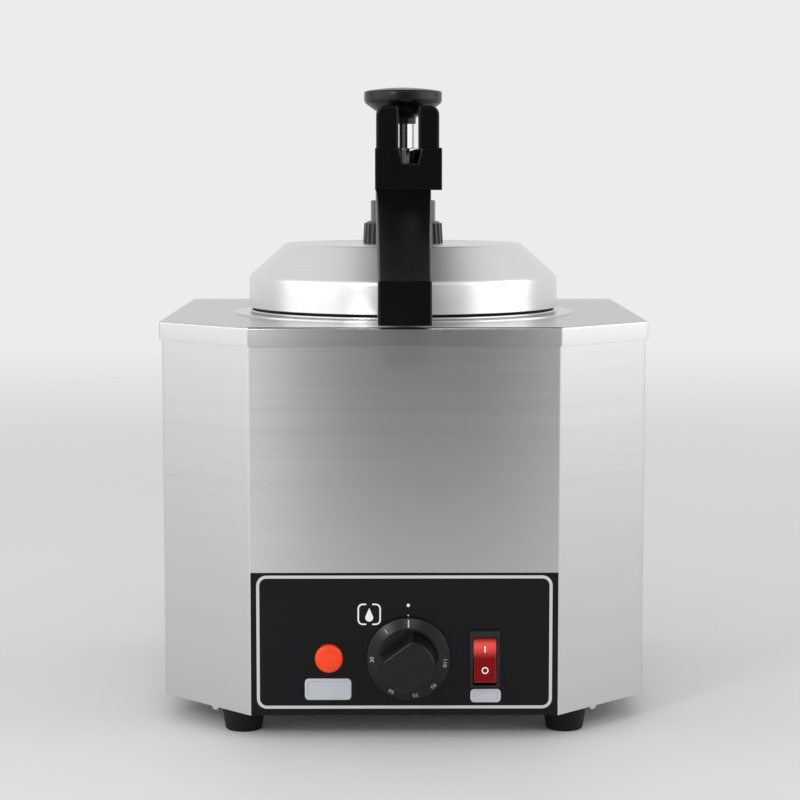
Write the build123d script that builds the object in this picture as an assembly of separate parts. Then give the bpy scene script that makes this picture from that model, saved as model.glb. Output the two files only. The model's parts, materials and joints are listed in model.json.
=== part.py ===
from build123d import *
import math
import os

# A counter-top warmer for hot fudge topping: a water-bath housing, a lift-out
# jar, and a spun lid that carries a hand pump with a long sloping spout.
# Millimetres, +Z up, the front (spout and control panel) towards -Y. The model is
# drawn about the axis of the lid and pump, on the worktop, and each finished
# piece is moved so that the origin is the middle of the whole object's base.

# --- driving dimensions: housing ---------------------------------------------
body_width = 250.0          # across the deck
body_depth = 247.0          # front to back of the deck
corner_cut = 47.5           # legs of the 45 degree cut at each front corner
body_height = 194.0         # underside of the housing to the top of the deck
sheet = 1.2                 # housing steel
fold_radius = 2.0           # outside radius of the upright folds
rim_height = 9.3            # turned-down edge of the deck
rim_gap = 0.2               # between the rim and the wrapped sides
rim_bend = 1.1              # outside radius of the deck's edge bend
tray_wall = 9.0             # upturned edge of the base
tray_gap = 0.1              # between that edge and the sides
rear_window_margin = 15.0   # wrap left standing round the rear window
rear_cover_sheet = 1.0
rear_cover_margin = 4.0     # from the edge of the wrap to the edge of the cover
vent_length = 62.0
vent_height = 4.0
vent_pitch = 12.0
vent_rows = 5
vent_columns = 2
vent_lowest = 96.0          # height of the lowest vent row above the worktop
vent_column_pitch = 86.0
base_vent_length = 34.0
base_vent_width = 4.0
base_vent_pitch = 11.0
base_vent_count = 4

# --- driving dimensions: feet and screws -------------------------------------
foot_height = 12.0
foot_top_radius = 11.0
foot_bottom_radius = 9.2
foot_recess_radius = 4.5
foot_recess_depth = 5.0
front_foot_x = 81.6
front_foot_y = -99.0
rear_foot_x = 98.0
rear_foot_y = 98.0
screw_radius = 2.0
screw_head_radius = 3.4
screw_head_height = 2.2
base_screw_head_radius = 2.5
base_screw_x = 95.2
base_screw_y = -99.5
cover_screw_inset = 6.0     # from the cover's edge to its screws

# --- driving dimensions: well and jar ----------------------------------------
well_radius = 81.0          # inside
well_sheet = 0.8
well_flange_width = 9.9      # outside the well's wall
well_bottom_bend = 12.0     # inside radius of its bottom corner
bend_chords = 3             # straight steps round a pressed bottom corner
water_depth_under_jar = 6.2
deck_hole_gap = 0.5         # between the deck's hole and the well
jar_side_gap = 2.5          # between the jar and the well
jar_wall = 0.9
jar_lip_overlap = 0.8       # the jar's lip outside the well's wall
jar_lip_thickness = 1.2
jar_bottom_bend = 14.0      # outside radius of its bottom corner

# --- driving dimensions: heater and inside parts -----------------------------
element_inner_radius = 28.0
element_margin = 3.0        # inside the flat part of the well's floor
element_thickness = 5.0
clamp_sheet = 1.5
clamp_margin = 2.0          # clamp plate outside the element
clamp_stud_radius = 4.0
clamp_nut_width = 13.0      # across flats
clamp_nut_height = 2.6
heater_clearance = 2.5      # between the clamp's nut and the base
insulation_thickness = 15.0
insulation_bottom = 94.0
insulation_top_gap = 4.0    # under the deck
cutout_radius = 8.0
cutout_height = 2.8
cutout_offset = 46.0
terminal_length = 44.0
terminal_width = 16.0
terminal_height = 14.0
terminal_x = -62.0
terminal_y = 98.0
terminal_ways = 4
gland_x = 62.0
gland_z = 34.0
gland_bore_radius = 4.2
gland_barrel_radius = 7.0
gland_flange_radius = 9.5
gland_flange_thickness = 2.0
gland_barrel_length = 12.0
gland_nut_width = 19.0
gland_nut_height = 4.0

# --- driving dimensions: control panel ---------------------------------------
panel_half_width = 76.2
panel_top = 83.8            # height above the worktop
panel_gap = 0.2             # round the panel, in the front of the housing
panel_flange = 10.0         # depth of the panel's top return
lamp_x = -37.5
lamp_z = 41.3
lamp_lens_radius = 7.0
lamp_lens_height = 4.6
lamp_body_radius = 6.2
lamp_body_length = 24.0
lamp_plate_x = -38.0
lamp_plate_z = 25.4
lamp_plate_width = 23.2
lamp_plate_height = 10.8
plate_thickness = 0.8
plate_corner = 2.2
switch_x = 40.0
switch_z = 40.8
bezel_width = 15.0
bezel_height = 28.5
bezel_thickness = 1.8
switch_body_width = 13.0
switch_body_height = 26.0
switch_body_depth = 20.0
rocker_width = 11.2
rocker_half_height = 11.2
rocker_gap = 0.3            # between the rocker and its pocket
rocker_side_gap = 0.25
rocker_tilt = 12.0          # each way from level, degrees
rocker_pivot_drop = 1.1     # pivot below the middle of the bezel
rocker_pivot_depth = 1.8    # pivot behind the panel's face
rocker_face_depth = 5.0     # pivot to the rocker's two front edges
rocker_dip = 1.3            # how far the middle of the rocker lies behind them
rocker_back = 3.0
rocker_pin_radius = 1.2
rocker_pin_length = 12.4
pin_clearance = 0.08
switch_plate_x = 40.4
switch_plate_z = 22.1
switch_plate_width = 15.2
switch_plate_height = 6.8
knob_x = 2.0
knob_z = 41.0
knob_skirt_radius = 21.0
knob_skirt_edge = 1.6
knob_skirt_rise = 2.4       # the skirt's cone, from its edge to the grip
knob_grip_radius = 14.4
knob_grip_front_radius = 12.6
knob_grip_height = 16.5
knob_grip_edge = 0.9
knob_grip_half_width = 10.6
knob_grip_draft = 1.1       # the flats close in by this much towards the front
knob_grip_turn = 36.0       # the grip lies this far from level, degrees
knob_panel_gap = 0.6
shaft_radius = 3.0
shaft_flat = 2.3            # axis to the flat of the D-shaped end
shaft_depth_in_knob = 14.0
shaft_clearance = 0.08
thermostat_width = 34.0
thermostat_depth = 22.0
thermostat_bushing_radius = 4.8
bulb_radius = 3.0
bulb_length = 52.0
bulb_bottom = 38.0          # height above the worktop
bulb_turn = 40.0            # place round the well, degrees from the front
capillary_radius = 0.9
capillary_bend = 3.5
capillary_exit = 8.0        # how far the thin tube runs straight out of the thermostat

# --- driving dimensions: lid --------------------------------------------------
gasket_thickness = 1.4      # under the lid's edge
gasket_inset = 1.1          # its edge inside the jar's lip
gasket_web = 3.4            # its width inside the lid
gasket_web_height = 5.0
lid_overhang = 0.7          # outside the jar's lip
lid_sheet = 0.8
lid_side_height = 16.2
lid_cone_height = 17.6
lid_cone_run = 19.6         # from the shoulder in to the flat top
lid_shoulder_bend = 2.4
lid_top_bend = 2.0
lid_fit_gap = 0.2

# --- driving dimensions: pump -------------------------------------------------
column_radius = 17.5
column_wall = 2.0
column_top_height = 23.2    # above the lid
column_hole_gap = 0.1       # between the column and the lid's hole
neck_radius = 14.0
neck_height = 5.7
spigot_height = 4.0         # neck's length inside the head
flange_radius = 26.0
flange_thickness = 3.0
nut_base_radius = 21.7
nut_top_radius = 21.1
nut_height = 11.9
nut_rib_count = 30
nut_groove_depth = 0.9
head_left = -15.0
head_right = 20.5
head_front = -30.0
head_back = 20.0
head_height = 22.3
head_back_round = 9.0
head_front_round = 0.8
head_top_round = 2.4
ear_height = 22.1
ear_thickness = 8.0
ear_left = (-14.4, -2.6)
ear_right = (7.9, 19.0)
ear_outer_round = 4.9
ear_inner_round = 1.6
ear_front_bevel = 1.1
notch_left = -2.6
notch_right = 9.8
notch_depth = 8.4
notch_draw_in = 2.2         # each side, from the notch's mouth to its floor
chamber_radius = 9.9
port_radius = 4.4
port_y = -24.0
gland_radius = 9.0
rod_gland_height = 9.2
rod_radius = 6.0
rod_clearance = 0.08
plunger_travel = 12.0
plunger_stop_gap = 1.0      # left under the knob's neck when it is pressed
knob_radius = 21.0
knob_rim_height = 5.9
knob_crown = 2.0
knob_crown_chords = 3
knob_bowl_chords = 4
knob_rim_bevel = 1.0
knob_bowl_depth = 7.9
knob_neck_radius = 6.9
knob_neck_height = 3.6
knob_rod_depth = 9.0        # how far the rod stands inside the knob
piston_clearance = 0.3
piston_height = 14.0
piston_depth = 131.0        # the lid's top to the piston's top
piston_port_radius = 2.2
piston_port_count = 4
seal_clearance = 0.08
seal_height = 4.0
seal_depth = 1.6
spring_wire_radius = 1.1
spring_radius = 12.4
spring_turns = 5
valve_radius = 20.0
valve_floor_gap = 3.3       # between the valve and the floor of the jar
valve_floor_thickness = 20.0
valve_socket_depth = 9.0
valve_seat_radius = 5.0
valve_well_radius = 8.6
valve_well_depth = 6.0
valve_edge = 2.0
intake_slot_width = 7.0
intake_slot_height = 5.0
ball_radius = 7.0
ball_lift = 3.0
cage_wall = 1.9
cage_bar = 3.0
cage_top = 2.0
cage_gap = 0.3

# --- driving dimensions: spout ------------------------------------------------
spout_reach = 163.0         # pump axis to the front of the nozzle
spout_root_width = 29.4
spout_tip_width = 25.6
spout_root_gap = 0.3        # between the spout's root and the column
arm_thickness = 15.2        # measured upright
nozzle_length = 24.0
nozzle_height = 21.2
nozzle_drop = 33.8          # the nozzle's underside below the lid's top
spout_bore_radius = 5.0
outlet_bore_radius = 6.0
outlet_bore_length = 14.0
spout_edge_round = 1.6

# --- levels and places worked out from them ----------------------------------
base_z = foot_height
deck_z = foot_height + body_height
front_y = -body_depth / 2
rear_y = body_depth / 2
wrap_inset = sheet + rim_gap
face_y = front_y + wrap_inset              # front face of the wrap and the panel
panel_back_y = face_y + sheet
wrap_rear_y = rear_y - wrap_inset
cover_rear_y = wrap_rear_y + rear_cover_sheet
well_outside = well_radius + well_sheet
well_flange_radius = well_outside + well_flange_width
jar_radius = well_radius - jar_side_gap
jar_lip_radius = well_outside + jar_lip_overlap
lid_radius = jar_lip_radius + lid_overhang
lid_top_radius = lid_radius - lid_cone_run
gasket_radius = jar_lip_radius - gasket_inset
element_outer_radius = well_radius - well_bottom_bend - element_margin
well_top = deck_z + well_sheet
clamp_bottom = base_z + sheet + heater_clearance + clamp_nut_height
element_bottom = clamp_bottom + clamp_sheet
element_top = element_bottom + element_thickness
well_floor = element_top + well_sheet
jar_bottom = well_floor + water_depth_under_jar
valve_floor = jar_bottom + jar_wall + valve_floor_gap
lip_top = well_top + jar_lip_thickness
lid_bottom = lip_top + gasket_thickness
lid_shoulder = lid_bottom + lid_side_height
lid_top = lid_shoulder + lid_cone_height
column_top = lid_top + column_top_height
head_z = column_top + neck_height
head_top = head_z + head_height
spigot_top = head_z + spigot_height
knob_neck_z = head_top + plunger_travel + plunger_stop_gap
knob_bowl_z = knob_neck_z + knob_neck_height
knob_rim_z = knob_bowl_z + knob_bowl_depth
piston_top = lid_top - piston_depth
piston_bottom = piston_top - piston_height
valve_deck = valve_floor + valve_floor_thickness
bore_radius = column_radius - column_wall
nozzle_bottom = lid_top - nozzle_drop
origin_y = (-spout_reach + cover_rear_y + gland_flange_thickness) / 2


def save(node, shape):
    """Write one sub-part, moved so that the origin is the middle of the base."""
    export_step(Pos(0, -origin_y, 0) * shape, f"parts/{node}.step")


def post(radius, z0, z1, x=0.0, y=0.0):
    """An upright cylinder between two heights."""
    return Pos(x, y, (z0 + z1) / 2) * Cylinder(radius, z1 - z0)


def pin_y(radius, y0, y1, x=0.0, z=0.0):
    """A cylinder along Y between two depths."""
    return Pos(x, (y0 + y1) / 2, z) * Rot(90, 0, 0) * Cylinder(radius, y1 - y0)


def brick(x0, x1, y0, y1, z0, z1):
    """A box between three pairs of limits."""
    middle = Pos((x0 + x1) / 2, (y0 + y1) / 2, (z0 + z1) / 2)
    return middle * Box(x1 - x0, y1 - y0, z1 - z0)


def turned(*points):
    """A solid of revolution about Z from a closed outline of (radius, height)."""
    return revolve(Plane.XZ * make_face(Polyline(*points, close=True)), Axis.Z)


def joined(shapes):
    """One part made of several solids."""
    result = Part()
    for shape in shapes:
        result += shape
    return result


def plan(inset, radius):
    """The housing's outline seen from above, moved inwards, with rounded folds."""
    half_x = body_width / 2 - inset
    half_y = body_depth / 2 - inset
    cut = corner_cut - inset * (2 - math.sqrt(2))
    corners = [
        (-half_x, half_y),
        (-half_x, cut - half_y),
        (cut - half_x, -half_y),
        (half_x - cut, -half_y),
        (half_x, cut - half_y),
        (half_x, half_y),
    ]
    face = make_face(Polyline(*corners, close=True))
    return fillet(face.vertices(), radius)


def prism(inset, radius, z0, z1):
    """The housing's outline as an upright prism."""
    return extrude(Pos(0, 0, z0) * plan(inset, radius), z1 - z0)


# --- housing -------------------------------------------------------------------
def make_top_plate():
    shell = prism(0, fold_radius, deck_z - rim_height, deck_z)
    shell = fillet(shell.faces().sort_by(Axis.Z)[-1].edges(), rim_bend)
    shell -= prism(sheet, fold_radius - sheet, deck_z - rim_height, deck_z - sheet)
    hole = well_outside + deck_hole_gap
    return shell - post(hole, deck_z - sheet, deck_z)


def make_body_wrap():
    top = deck_z - sheet
    wrap = prism(wrap_inset, fold_radius, base_z, top)
    wrap -= prism(wrap_inset + sheet, fold_radius - sheet, base_z, top)
    opening = panel_half_width + panel_gap
    wrap -= brick(-opening, opening, face_y, panel_back_y, base_z, panel_top + panel_gap)
    half = body_width / 2 - wrap_inset - rear_window_margin
    low, high = base_z + rear_window_margin, top - rim_height - rear_window_margin
    wrap -= brick(-half, half, wrap_rear_y - sheet, wrap_rear_y, low, high)
    return wrap - pin_y(gland_barrel_radius, wrap_rear_y - sheet, wrap_rear_y, gland_x, gland_z)


def cover_screw_places():
    """Centres of the rear cover's screws, as (x, z)."""
    half = body_width / 2 - wrap_inset - rear_cover_margin - cover_screw_inset
    low = base_z + rear_cover_margin + cover_screw_inset
    high = deck_z - rim_height - rear_cover_margin - cover_screw_inset
    middle = (low + high) / 2
    return [(side * half, z) for side in (-1, 1) for z in (low, middle, high)]


def make_rear_panel():
    half = body_width / 2 - wrap_inset - rear_cover_margin
    low, high = base_z + rear_cover_margin, deck_z - rim_height - rear_cover_margin
    cover = brick(-half, half, wrap_rear_y, cover_rear_y, low, high)
    cover = fillet(cover.edges().filter_by(Axis.Y), rear_cover_margin)
    slot = Rot(90, 0, 0) * extrude(SlotOverall(vent_length, vent_height), cover_rear_y, both=True)
    for column in range(vent_columns):
        x = (column - (vent_columns - 1) / 2) * vent_column_pitch
        for row in range(vent_rows):
            cover -= Pos(x, 0, vent_lowest + row * vent_pitch) * slot & cover
    cover -= pin_y(gland_barrel_radius, wrap_rear_y, cover_rear_y, gland_x, gland_z)
    return cover


def pan_head(radius, height):
    """A low domed screw head, standing on XY and growing towards +Z."""
    return turned((0, 0), (radius, 0), (radius - height / 2, height), (0, height))


def make_rear_screws():
    head = pan_head(screw_head_radius, screw_head_height)
    screws = []
    for x, z in cover_screw_places():
        screws.append(Pos(x, cover_rear_y, z) * Rot(-90, 0, 0) * head)
    return joined(screws)


def make_base_plate():
    inset = wrap_inset + sheet + tray_gap
    radius = fold_radius - sheet
    tray = prism(inset, radius, base_z, base_z + tray_wall)
    tray -= prism(inset + sheet, radius, base_z + sheet, base_z + tray_wall)
    slot = extrude(SlotOverall(base_vent_length, base_vent_width), sheet)
    for row in range(base_vent_count):
        y = (row - (base_vent_count - 1) / 2) * base_vent_pitch
        for x in (-base_vent_length, base_vent_length):
            tray -= Pos(x, y, base_z) * slot
    return tray


def foot_places():
    """Centres of the four feet."""
    front = [(side * front_foot_x, front_foot_y) for side in (-1, 1)]
    return front + [(side * rear_foot_x, rear_foot_y) for side in (-1, 1)]


def make_rubber_feet():
    foot = turned(
        (foot_recess_radius, 0),
        (foot_bottom_radius, 0),
        (foot_top_radius, foot_height),
        (screw_radius, foot_height),
        (screw_radius, foot_recess_depth),
        (foot_recess_radius, foot_recess_depth),
    )
    return joined([Pos(x, y, 0) * foot for x, y in foot_places()])


def make_foot_screws():
    head_z = foot_recess_depth - screw_head_height
    screw = post(screw_head_radius, head_z, foot_recess_depth)
    screw += post(screw_radius, foot_recess_depth, base_z)
    return joined([Pos(x, y, 0) * screw for x, y in foot_places()])


def make_base_screws():
    head = Rot(180, 0, 0) * pan_head(base_screw_head_radius, screw_head_height)
    rear_y_place = rear_foot_y - foot_top_radius - base_screw_head_radius * 2
    places = [(side * base_screw_x, base_screw_y) for side in (-1, 1)]
    places += [(side * rear_foot_x, rear_y_place) for side in (-1, 1)]
    return joined([Pos(x, y, base_z) * head for x, y in places])


# --- well, jar and heater --------------------------------------------------------
def cup(radius, floor, top, bend):
    """A cylinder whose bottom corner is rounded in a few even steps."""
    corner = []
    for step in range(bend_chords + 1):
        turn = math.radians(90 * step / bend_chords)
        corner.append((radius - bend + bend * math.sin(turn), floor + bend - bend * math.cos(turn)))
    return turned((0, floor), *corner, (radius, top), (0, top))


def make_water_well():
    outside = cup(well_outside, well_floor - well_sheet, deck_z, well_bottom_bend + well_sheet)
    outside += post(well_flange_radius, deck_z, well_top)
    return outside - cup(well_radius, well_floor, well_top, well_bottom_bend)


def make_inner_jar():
    outside = cup(jar_radius, jar_bottom, well_top, jar_bottom_bend)
    outside += post(jar_lip_radius, well_top, lip_top)
    outside = chamfer(outside.edges().group_by(Axis.Z)[-1], jar_lip_thickness * 0.3)
    inside = cup(jar_radius - jar_wall, jar_bottom + jar_wall, lip_top, jar_bottom_bend - jar_wall)
    return outside - inside


def make_heating_element():
    ring = post(element_outer_radius, element_bottom, element_top)
    return ring - post(element_inner_radius, element_bottom, element_top)


def hexagon(width, z0, z1):
    """A hexagonal prism, width across its flats."""
    radius = width / math.sqrt(3)
    return extrude(Pos(0, 0, z0) * RegularPolygon(radius, 6), z1 - z0)


def make_heater_clamp():
    clamp = post(element_outer_radius + clamp_margin, clamp_bottom, element_bottom)
    clamp += post(clamp_stud_radius, clamp_bottom, element_top)
    return clamp + hexagon(clamp_nut_width, clamp_bottom - clamp_nut_height, clamp_bottom)


def make_limit_cutout():
    return post(cutout_radius, clamp_bottom - cutout_height, clamp_bottom, cutout_offset)


def make_insulation_band():
    inner = well_outside
    low, high = insulation_bottom, deck_z - sheet - insulation_top_gap
    return post(inner + insulation_thickness, low, high) - post(inner, low, high)


def make_terminal_block():
    z0 = base_z + sheet
    pitch = terminal_length / terminal_ways
    rows = []
    for way in range(terminal_ways):
        x = terminal_x + (way - (terminal_ways - 1) / 2) * pitch
        body = brick(
            x - pitch / 2, x + pitch / 2,
            terminal_y - terminal_width / 2, terminal_y + terminal_width / 2,
            z0, z0 + terminal_height,
        )
        rows.append(body - post(pitch / 4, z0 + terminal_height / 2, z0 + terminal_height, x, terminal_y))
    return joined(rows)


def make_cable_gland():
    end = cover_rear_y + gland_flange_thickness
    start = cover_rear_y - gland_barrel_length
    gland = pin_y(gland_barrel_radius, start, cover_rear_y, gland_x, gland_z)
    gland += pin_y(gland_flange_radius, cover_rear_y, end, gland_x, gland_z)
    gland = chamfer(gland.edges().group_by(Axis.Y)[-1], gland_flange_thickness * 0.4)
    return gland - pin_y(gland_bore_radius, start, end, gland_x, gland_z)


def make_gland_nut():
    inside = wrap_rear_y - sheet
    nut = Rot(90, 0, 0) * hexagon(gland_nut_width, 0, gland_nut_height)
    nut = Pos(gland_x, inside, gland_z) * nut
    return nut - pin_y(gland_barrel_radius, inside - gland_nut_height, inside, gland_x, gland_z)


# --- control panel ---------------------------------------------------------------
def make_control_panel():
    half = panel_half_width
    panel = brick(-half, half, face_y, panel_back_y, base_z + panel_gap, panel_top)
    back = panel_back_y + panel_flange
    panel += brick(sheet - half, half - sheet, panel_back_y, back, panel_top - sheet, panel_top)
    panel -= pin_y(lamp_body_radius, face_y, panel_back_y, lamp_x, lamp_z)
    panel -= pin_y(thermostat_bushing_radius, face_y, panel_back_y, knob_x, knob_z)
    half_w, half_h = switch_body_width / 2, switch_body_height / 2
    panel -= brick(
        switch_x - half_w, switch_x + half_w, face_y, panel_back_y,
        switch_z - half_h, switch_z + half_h,
    )
    return panel


def make_legend_plate(x, z, width, height):
    front = face_y - plate_thickness
    plate = brick(x - width / 2, x + width / 2, front, face_y, z - height / 2, z + height / 2)
    plate = chamfer(plate.edges().filter_by(Axis.Y), plate_corner)
    return chamfer(plate.faces().sort_by(Axis.Y)[0].edges(), plate_thickness * 0.5)


def make_indicator_lens():
    """A low dome, drawn with its axis along Z and laid towards the front."""
    radius, height = lamp_lens_radius, lamp_lens_height
    dome = turned((0, 0), (radius, 0), (radius, height / 2), (radius * 0.8, height * 0.9), (0, height))
    return Pos(lamp_x, face_y, lamp_z) * Rot(90, 0, 0) * dome


def make_indicator_body():
    end = face_y + lamp_body_length
    body = pin_y(lamp_body_radius, face_y, end, lamp_x, lamp_z)
    for side in (-1, 1):
        x = lamp_x + side * lamp_body_radius / 2
        body += brick(x - 0.4, x + 0.4, end, end + 8.0, lamp_z - 2.4, lamp_z + 2.4)
    return body


pivot_y = face_y + rocker_pivot_depth
pivot_z = switch_z - rocker_pivot_drop
rocker_reach = math.hypot(rocker_half_height, rocker_face_depth)


def make_rocker_bezel():
    bezel = brick(
        switch_x - bezel_width / 2, switch_x + bezel_width / 2, face_y - bezel_thickness, face_y,
        switch_z - bezel_height / 2, switch_z + bezel_height / 2,
    )
    bezel = chamfer(bezel.faces().sort_by(Axis.Y)[0].edges(), bezel_thickness * 0.35)
    half_w, half_h = switch_body_width / 2, switch_body_height / 2
    end = face_y + switch_body_depth
    bezel += brick(
        switch_x - half_w, switch_x + half_w, face_y, end, switch_z - half_h, switch_z + half_h,
    )
    pocket_w = rocker_width / 2 + rocker_side_gap
    sweep = rocker_reach + rocker_gap
    pocket = Pos(0, pivot_y, pivot_z) * Rot(0, 90, 0) * Cylinder(sweep, 2 * pocket_w)
    edge_angle = math.atan2(rocker_half_height, rocker_face_depth) + math.radians(rocker_tilt)
    mouth = rocker_reach * math.sin(edge_angle) + rocker_gap
    pocket += brick(-pocket_w, pocket_w, face_y - bezel_thickness, pivot_y, pivot_z - mouth, pivot_z + mouth)
    limit = brick(
        -pocket_w, pocket_w, face_y - bezel_thickness, pivot_y + sweep,
        pivot_z - mouth, pivot_z + mouth,
    )
    bezel -= Pos(switch_x, 0, 0) * (pocket & limit)
    hole = Cylinder(rocker_pin_radius + pin_clearance, rocker_pin_length + 2 * pin_clearance)
    bezel -= Pos(switch_x, pivot_y, pivot_z) * Rot(0, 90, 0) * hole
    for z in (-half_h / 2, 0, half_h / 2):
        bezel += brick(switch_x - 2.4, switch_x + 2.4, end, end + 8.0, switch_z + z - 0.4, switch_z + z + 0.4)
    return bezel


def make_rocker_button():
    front, tall = -rocker_face_depth, rocker_half_height
    back_tall = rocker_half_height * 0.8
    outline = make_face(Polyline(
        (front, tall), (front + rocker_dip, 0), (front, -tall),
        (0, -tall), (rocker_back, -back_tall), (rocker_back, back_tall), (0, tall),
        close=True,
    ))
    button = extrude(Plane.YZ * outline, rocker_width / 2, both=True)
    button = fillet(button.edges().filter_by(Axis.X).sort_by(Axis.Y)[:2], 0.6)
    button += Rot(0, 90, 0) * Cylinder(rocker_pin_radius, rocker_pin_length)
    return Pos(switch_x, pivot_y, pivot_z) * Rot(-rocker_tilt, 0, 0) * button


def make_thermostat_knob():
    """Drawn with its axis along Z, then laid towards the front."""
    skirt_top = knob_skirt_edge + knob_skirt_rise
    skirt = turned(
        (0, 0), (knob_skirt_radius, 0), (knob_skirt_radius, knob_skirt_edge),
        (knob_grip_radius, skirt_top), (0, skirt_top),
    )
    grip = Pos(0, 0, skirt_top + knob_grip_height / 2)
    grip = grip * Cone(knob_grip_radius, knob_grip_front_radius, knob_grip_height)
    grip = chamfer(grip.edges().sort_by(Axis.Z)[-1], knob_grip_edge)
    top = skirt_top + knob_grip_height
    lean = math.degrees(math.atan2(knob_grip_draft, knob_grip_height))
    for side in (-1, 1):
        slab = Pos(0, knob_grip_radius / 2, knob_grip_height)
        slab = slab * Box(2 * knob_skirt_radius, knob_grip_radius, 2 * knob_grip_height)
        slab = Pos(0, knob_grip_half_width, skirt_top) * Rot(lean, 0, 0) * slab
        grip -= Rot(0, 0, knob_grip_turn + (0 if side > 0 else 180)) * slab
    knob = skirt + grip
    hole = post(shaft_radius, 0, shaft_depth_in_knob)
    hole -= brick(-shaft_radius, shaft_radius, shaft_flat, shaft_radius, 0, top)
    knob -= hole
    return Pos(knob_x, face_y - knob_panel_gap, knob_z) * Rot(90, 0, 0) * knob


def make_thermostat_shaft():
    start = face_y - knob_panel_gap - shaft_depth_in_knob
    end = panel_back_y + thermostat_depth / 2
    shaft = pin_y(shaft_radius, start, end, knob_x, knob_z)
    flat = brick(
        knob_x - shaft_radius, knob_x + shaft_radius, start, face_y - knob_panel_gap,
        knob_z + shaft_flat, knob_z + shaft_radius,
    )
    return shaft - flat


def make_thermostat_body():
    half = thermostat_width / 2
    end = panel_back_y + thermostat_depth
    body = brick(knob_x - half, knob_x + half, panel_back_y, end, knob_z - half, knob_z + half)
    body = chamfer(body.edges().filter_by(Axis.Y), half / 4)
    body += pin_y(thermostat_bushing_radius, face_y, panel_back_y, knob_x, knob_z)
    bore_end = panel_back_y + thermostat_depth / 2
    return body - pin_y(shaft_radius + shaft_clearance, face_y, bore_end + shaft_clearance, knob_x, knob_z)


def make_sensing_bulb():
    """Bulb against the well's wall, with its thin tube back to the thermostat."""
    reach = well_outside + bulb_radius
    turn = math.radians(bulb_turn)
    x, y = reach * math.sin(turn), -reach * math.cos(turn)
    bulb = post(bulb_radius, bulb_bottom, bulb_bottom + bulb_length, x, y)
    start_x = knob_x + thermostat_width / 2
    start_y = panel_back_y + thermostat_depth / 2
    drop_x = start_x + capillary_exit
    low = bulb_bottom - 3 * capillary_bend
    route = FilletPolyline(
        (start_x, start_y, knob_z), (drop_x, start_y, knob_z),
        (drop_x, start_y, low), (x, y, low), (x, y, bulb_bottom),
        radius=capillary_bend,
    )
    section = Plane(origin=route @ 0, z_dir=route % 0) * RegularPolygon(capillary_radius, 6)
    tube = sweep(section, route)
    return bulb + tube


# --- lid ---------------------------------------------------------------------------
def lid_section():
    """The lid's outside profile with the inside filled, its corners still sharp."""
    margin = lid_radius
    return make_face(Polyline(
        (-margin, lid_bottom - margin), (lid_radius, lid_bottom - margin),
        (lid_radius, lid_shoulder), (lid_top_radius, lid_top), (-margin, lid_top),
        close=True,
    ))


def make_lid_shell():
    hole = column_radius + column_hole_gap
    inside = offset(lid_section(), amount=-lid_sheet, kind=Kind.INTERSECTION)
    outside = lid_section()
    shoulder, top_edge = outside.vertices().filter_by(lambda v: v.X > 0).sort_by(Axis.Y)[-2:]
    outside = chamfer(top_edge, lid_top_bend / 2)
    outside = chamfer(outside.vertices().sort_by_distance(shoulder)[0], lid_shoulder_bend / 2)
    wall = outside - inside
    window = Pos((hole + lid_radius) / 2, (lid_bottom + lid_top) / 2)
    wall = wall & (window * Rectangle(lid_radius - hole, lid_top - lid_bottom))
    return revolve(Plane.XZ * wall, Axis.Z)


def make_lid_gasket():
    inner = lid_radius - lid_sheet - lid_fit_gap
    return turned(
        (inner - gasket_web, lip_top), (gasket_radius, lip_top), (gasket_radius, lid_bottom),
        (inner, lid_bottom), (inner, lid_bottom + gasket_web_height),
        (inner - gasket_web, lid_bottom + gasket_web_height),
    )


# --- pump ---------------------------------------------------------------------------
def make_pump_flange():
    top = lid_top - lid_sheet
    ring = post(flange_radius, top - flange_thickness, top)
    return ring - post(column_radius, top - flange_thickness, top)


def make_collar_nut():
    """Ribs and grooves as one ring of straight edges, trimmed to a slight taper."""
    top = lid_top + nut_height
    step = 360 / nut_rib_count
    ring = []
    for rib in range(nut_rib_count):
        for radius, part_turn in (
            (nut_base_radius - nut_groove_depth, -0.36), (nut_base_radius, -0.2),
            (nut_base_radius, 0.2), (nut_base_radius - nut_groove_depth, 0.36),
        ):
            angle = math.radians((rib + part_turn) * step)
            ring.append((radius * math.cos(angle), radius * math.sin(angle)))
    nut = extrude(Pos(0, 0, lid_top) * make_face(Polyline(*ring, close=True)), nut_height)
    nut &= turned(
        (0, lid_top), (nut_base_radius, lid_top), (nut_top_radius, top - nut_groove_depth),
        (nut_top_radius - nut_groove_depth, top), (0, top),
    )
    return nut - post(column_radius, lid_top, top)


def make_pump_column():
    rod_way = rod_radius + column_wall
    cap = column_top - column_wall
    return turned(
        (bore_radius, valve_deck), (column_radius, valve_deck), (column_radius, column_top),
        (neck_radius, column_top), (neck_radius, spigot_top), (rod_way, spigot_top),
        (rod_way, cap), (bore_radius, cap),
    )


def ear(limits, outer_side):
    """One guard ear, rounded at its top corners and its upright edges."""
    x0, x1 = limits
    plate = brick(x0, x1, head_front, head_front + ear_thickness, head_top, head_top + ear_height)
    tops = plate.edges().filter_by(Axis.Y).group_by(Axis.Z)[-1].sort_by(Axis.X)
    outer, inner = (tops[0], tops[-1]) if outer_side < 0 else (tops[-1], tops[0])
    plate = fillet(outer, ear_outer_round)
    inner = plate.edges().filter_by(Axis.Y).group_by(Axis.Z)[-1].sort_by(Axis.X)[-1 if outer_side < 0 else 0]
    plate = fillet(inner, ear_inner_round)
    front = plate.faces().sort_by(Axis.Y)[0].edges()
    return chamfer(front.filter_by(lambda e: e.center().Z > head_top + 0.1), ear_front_bevel)


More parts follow.
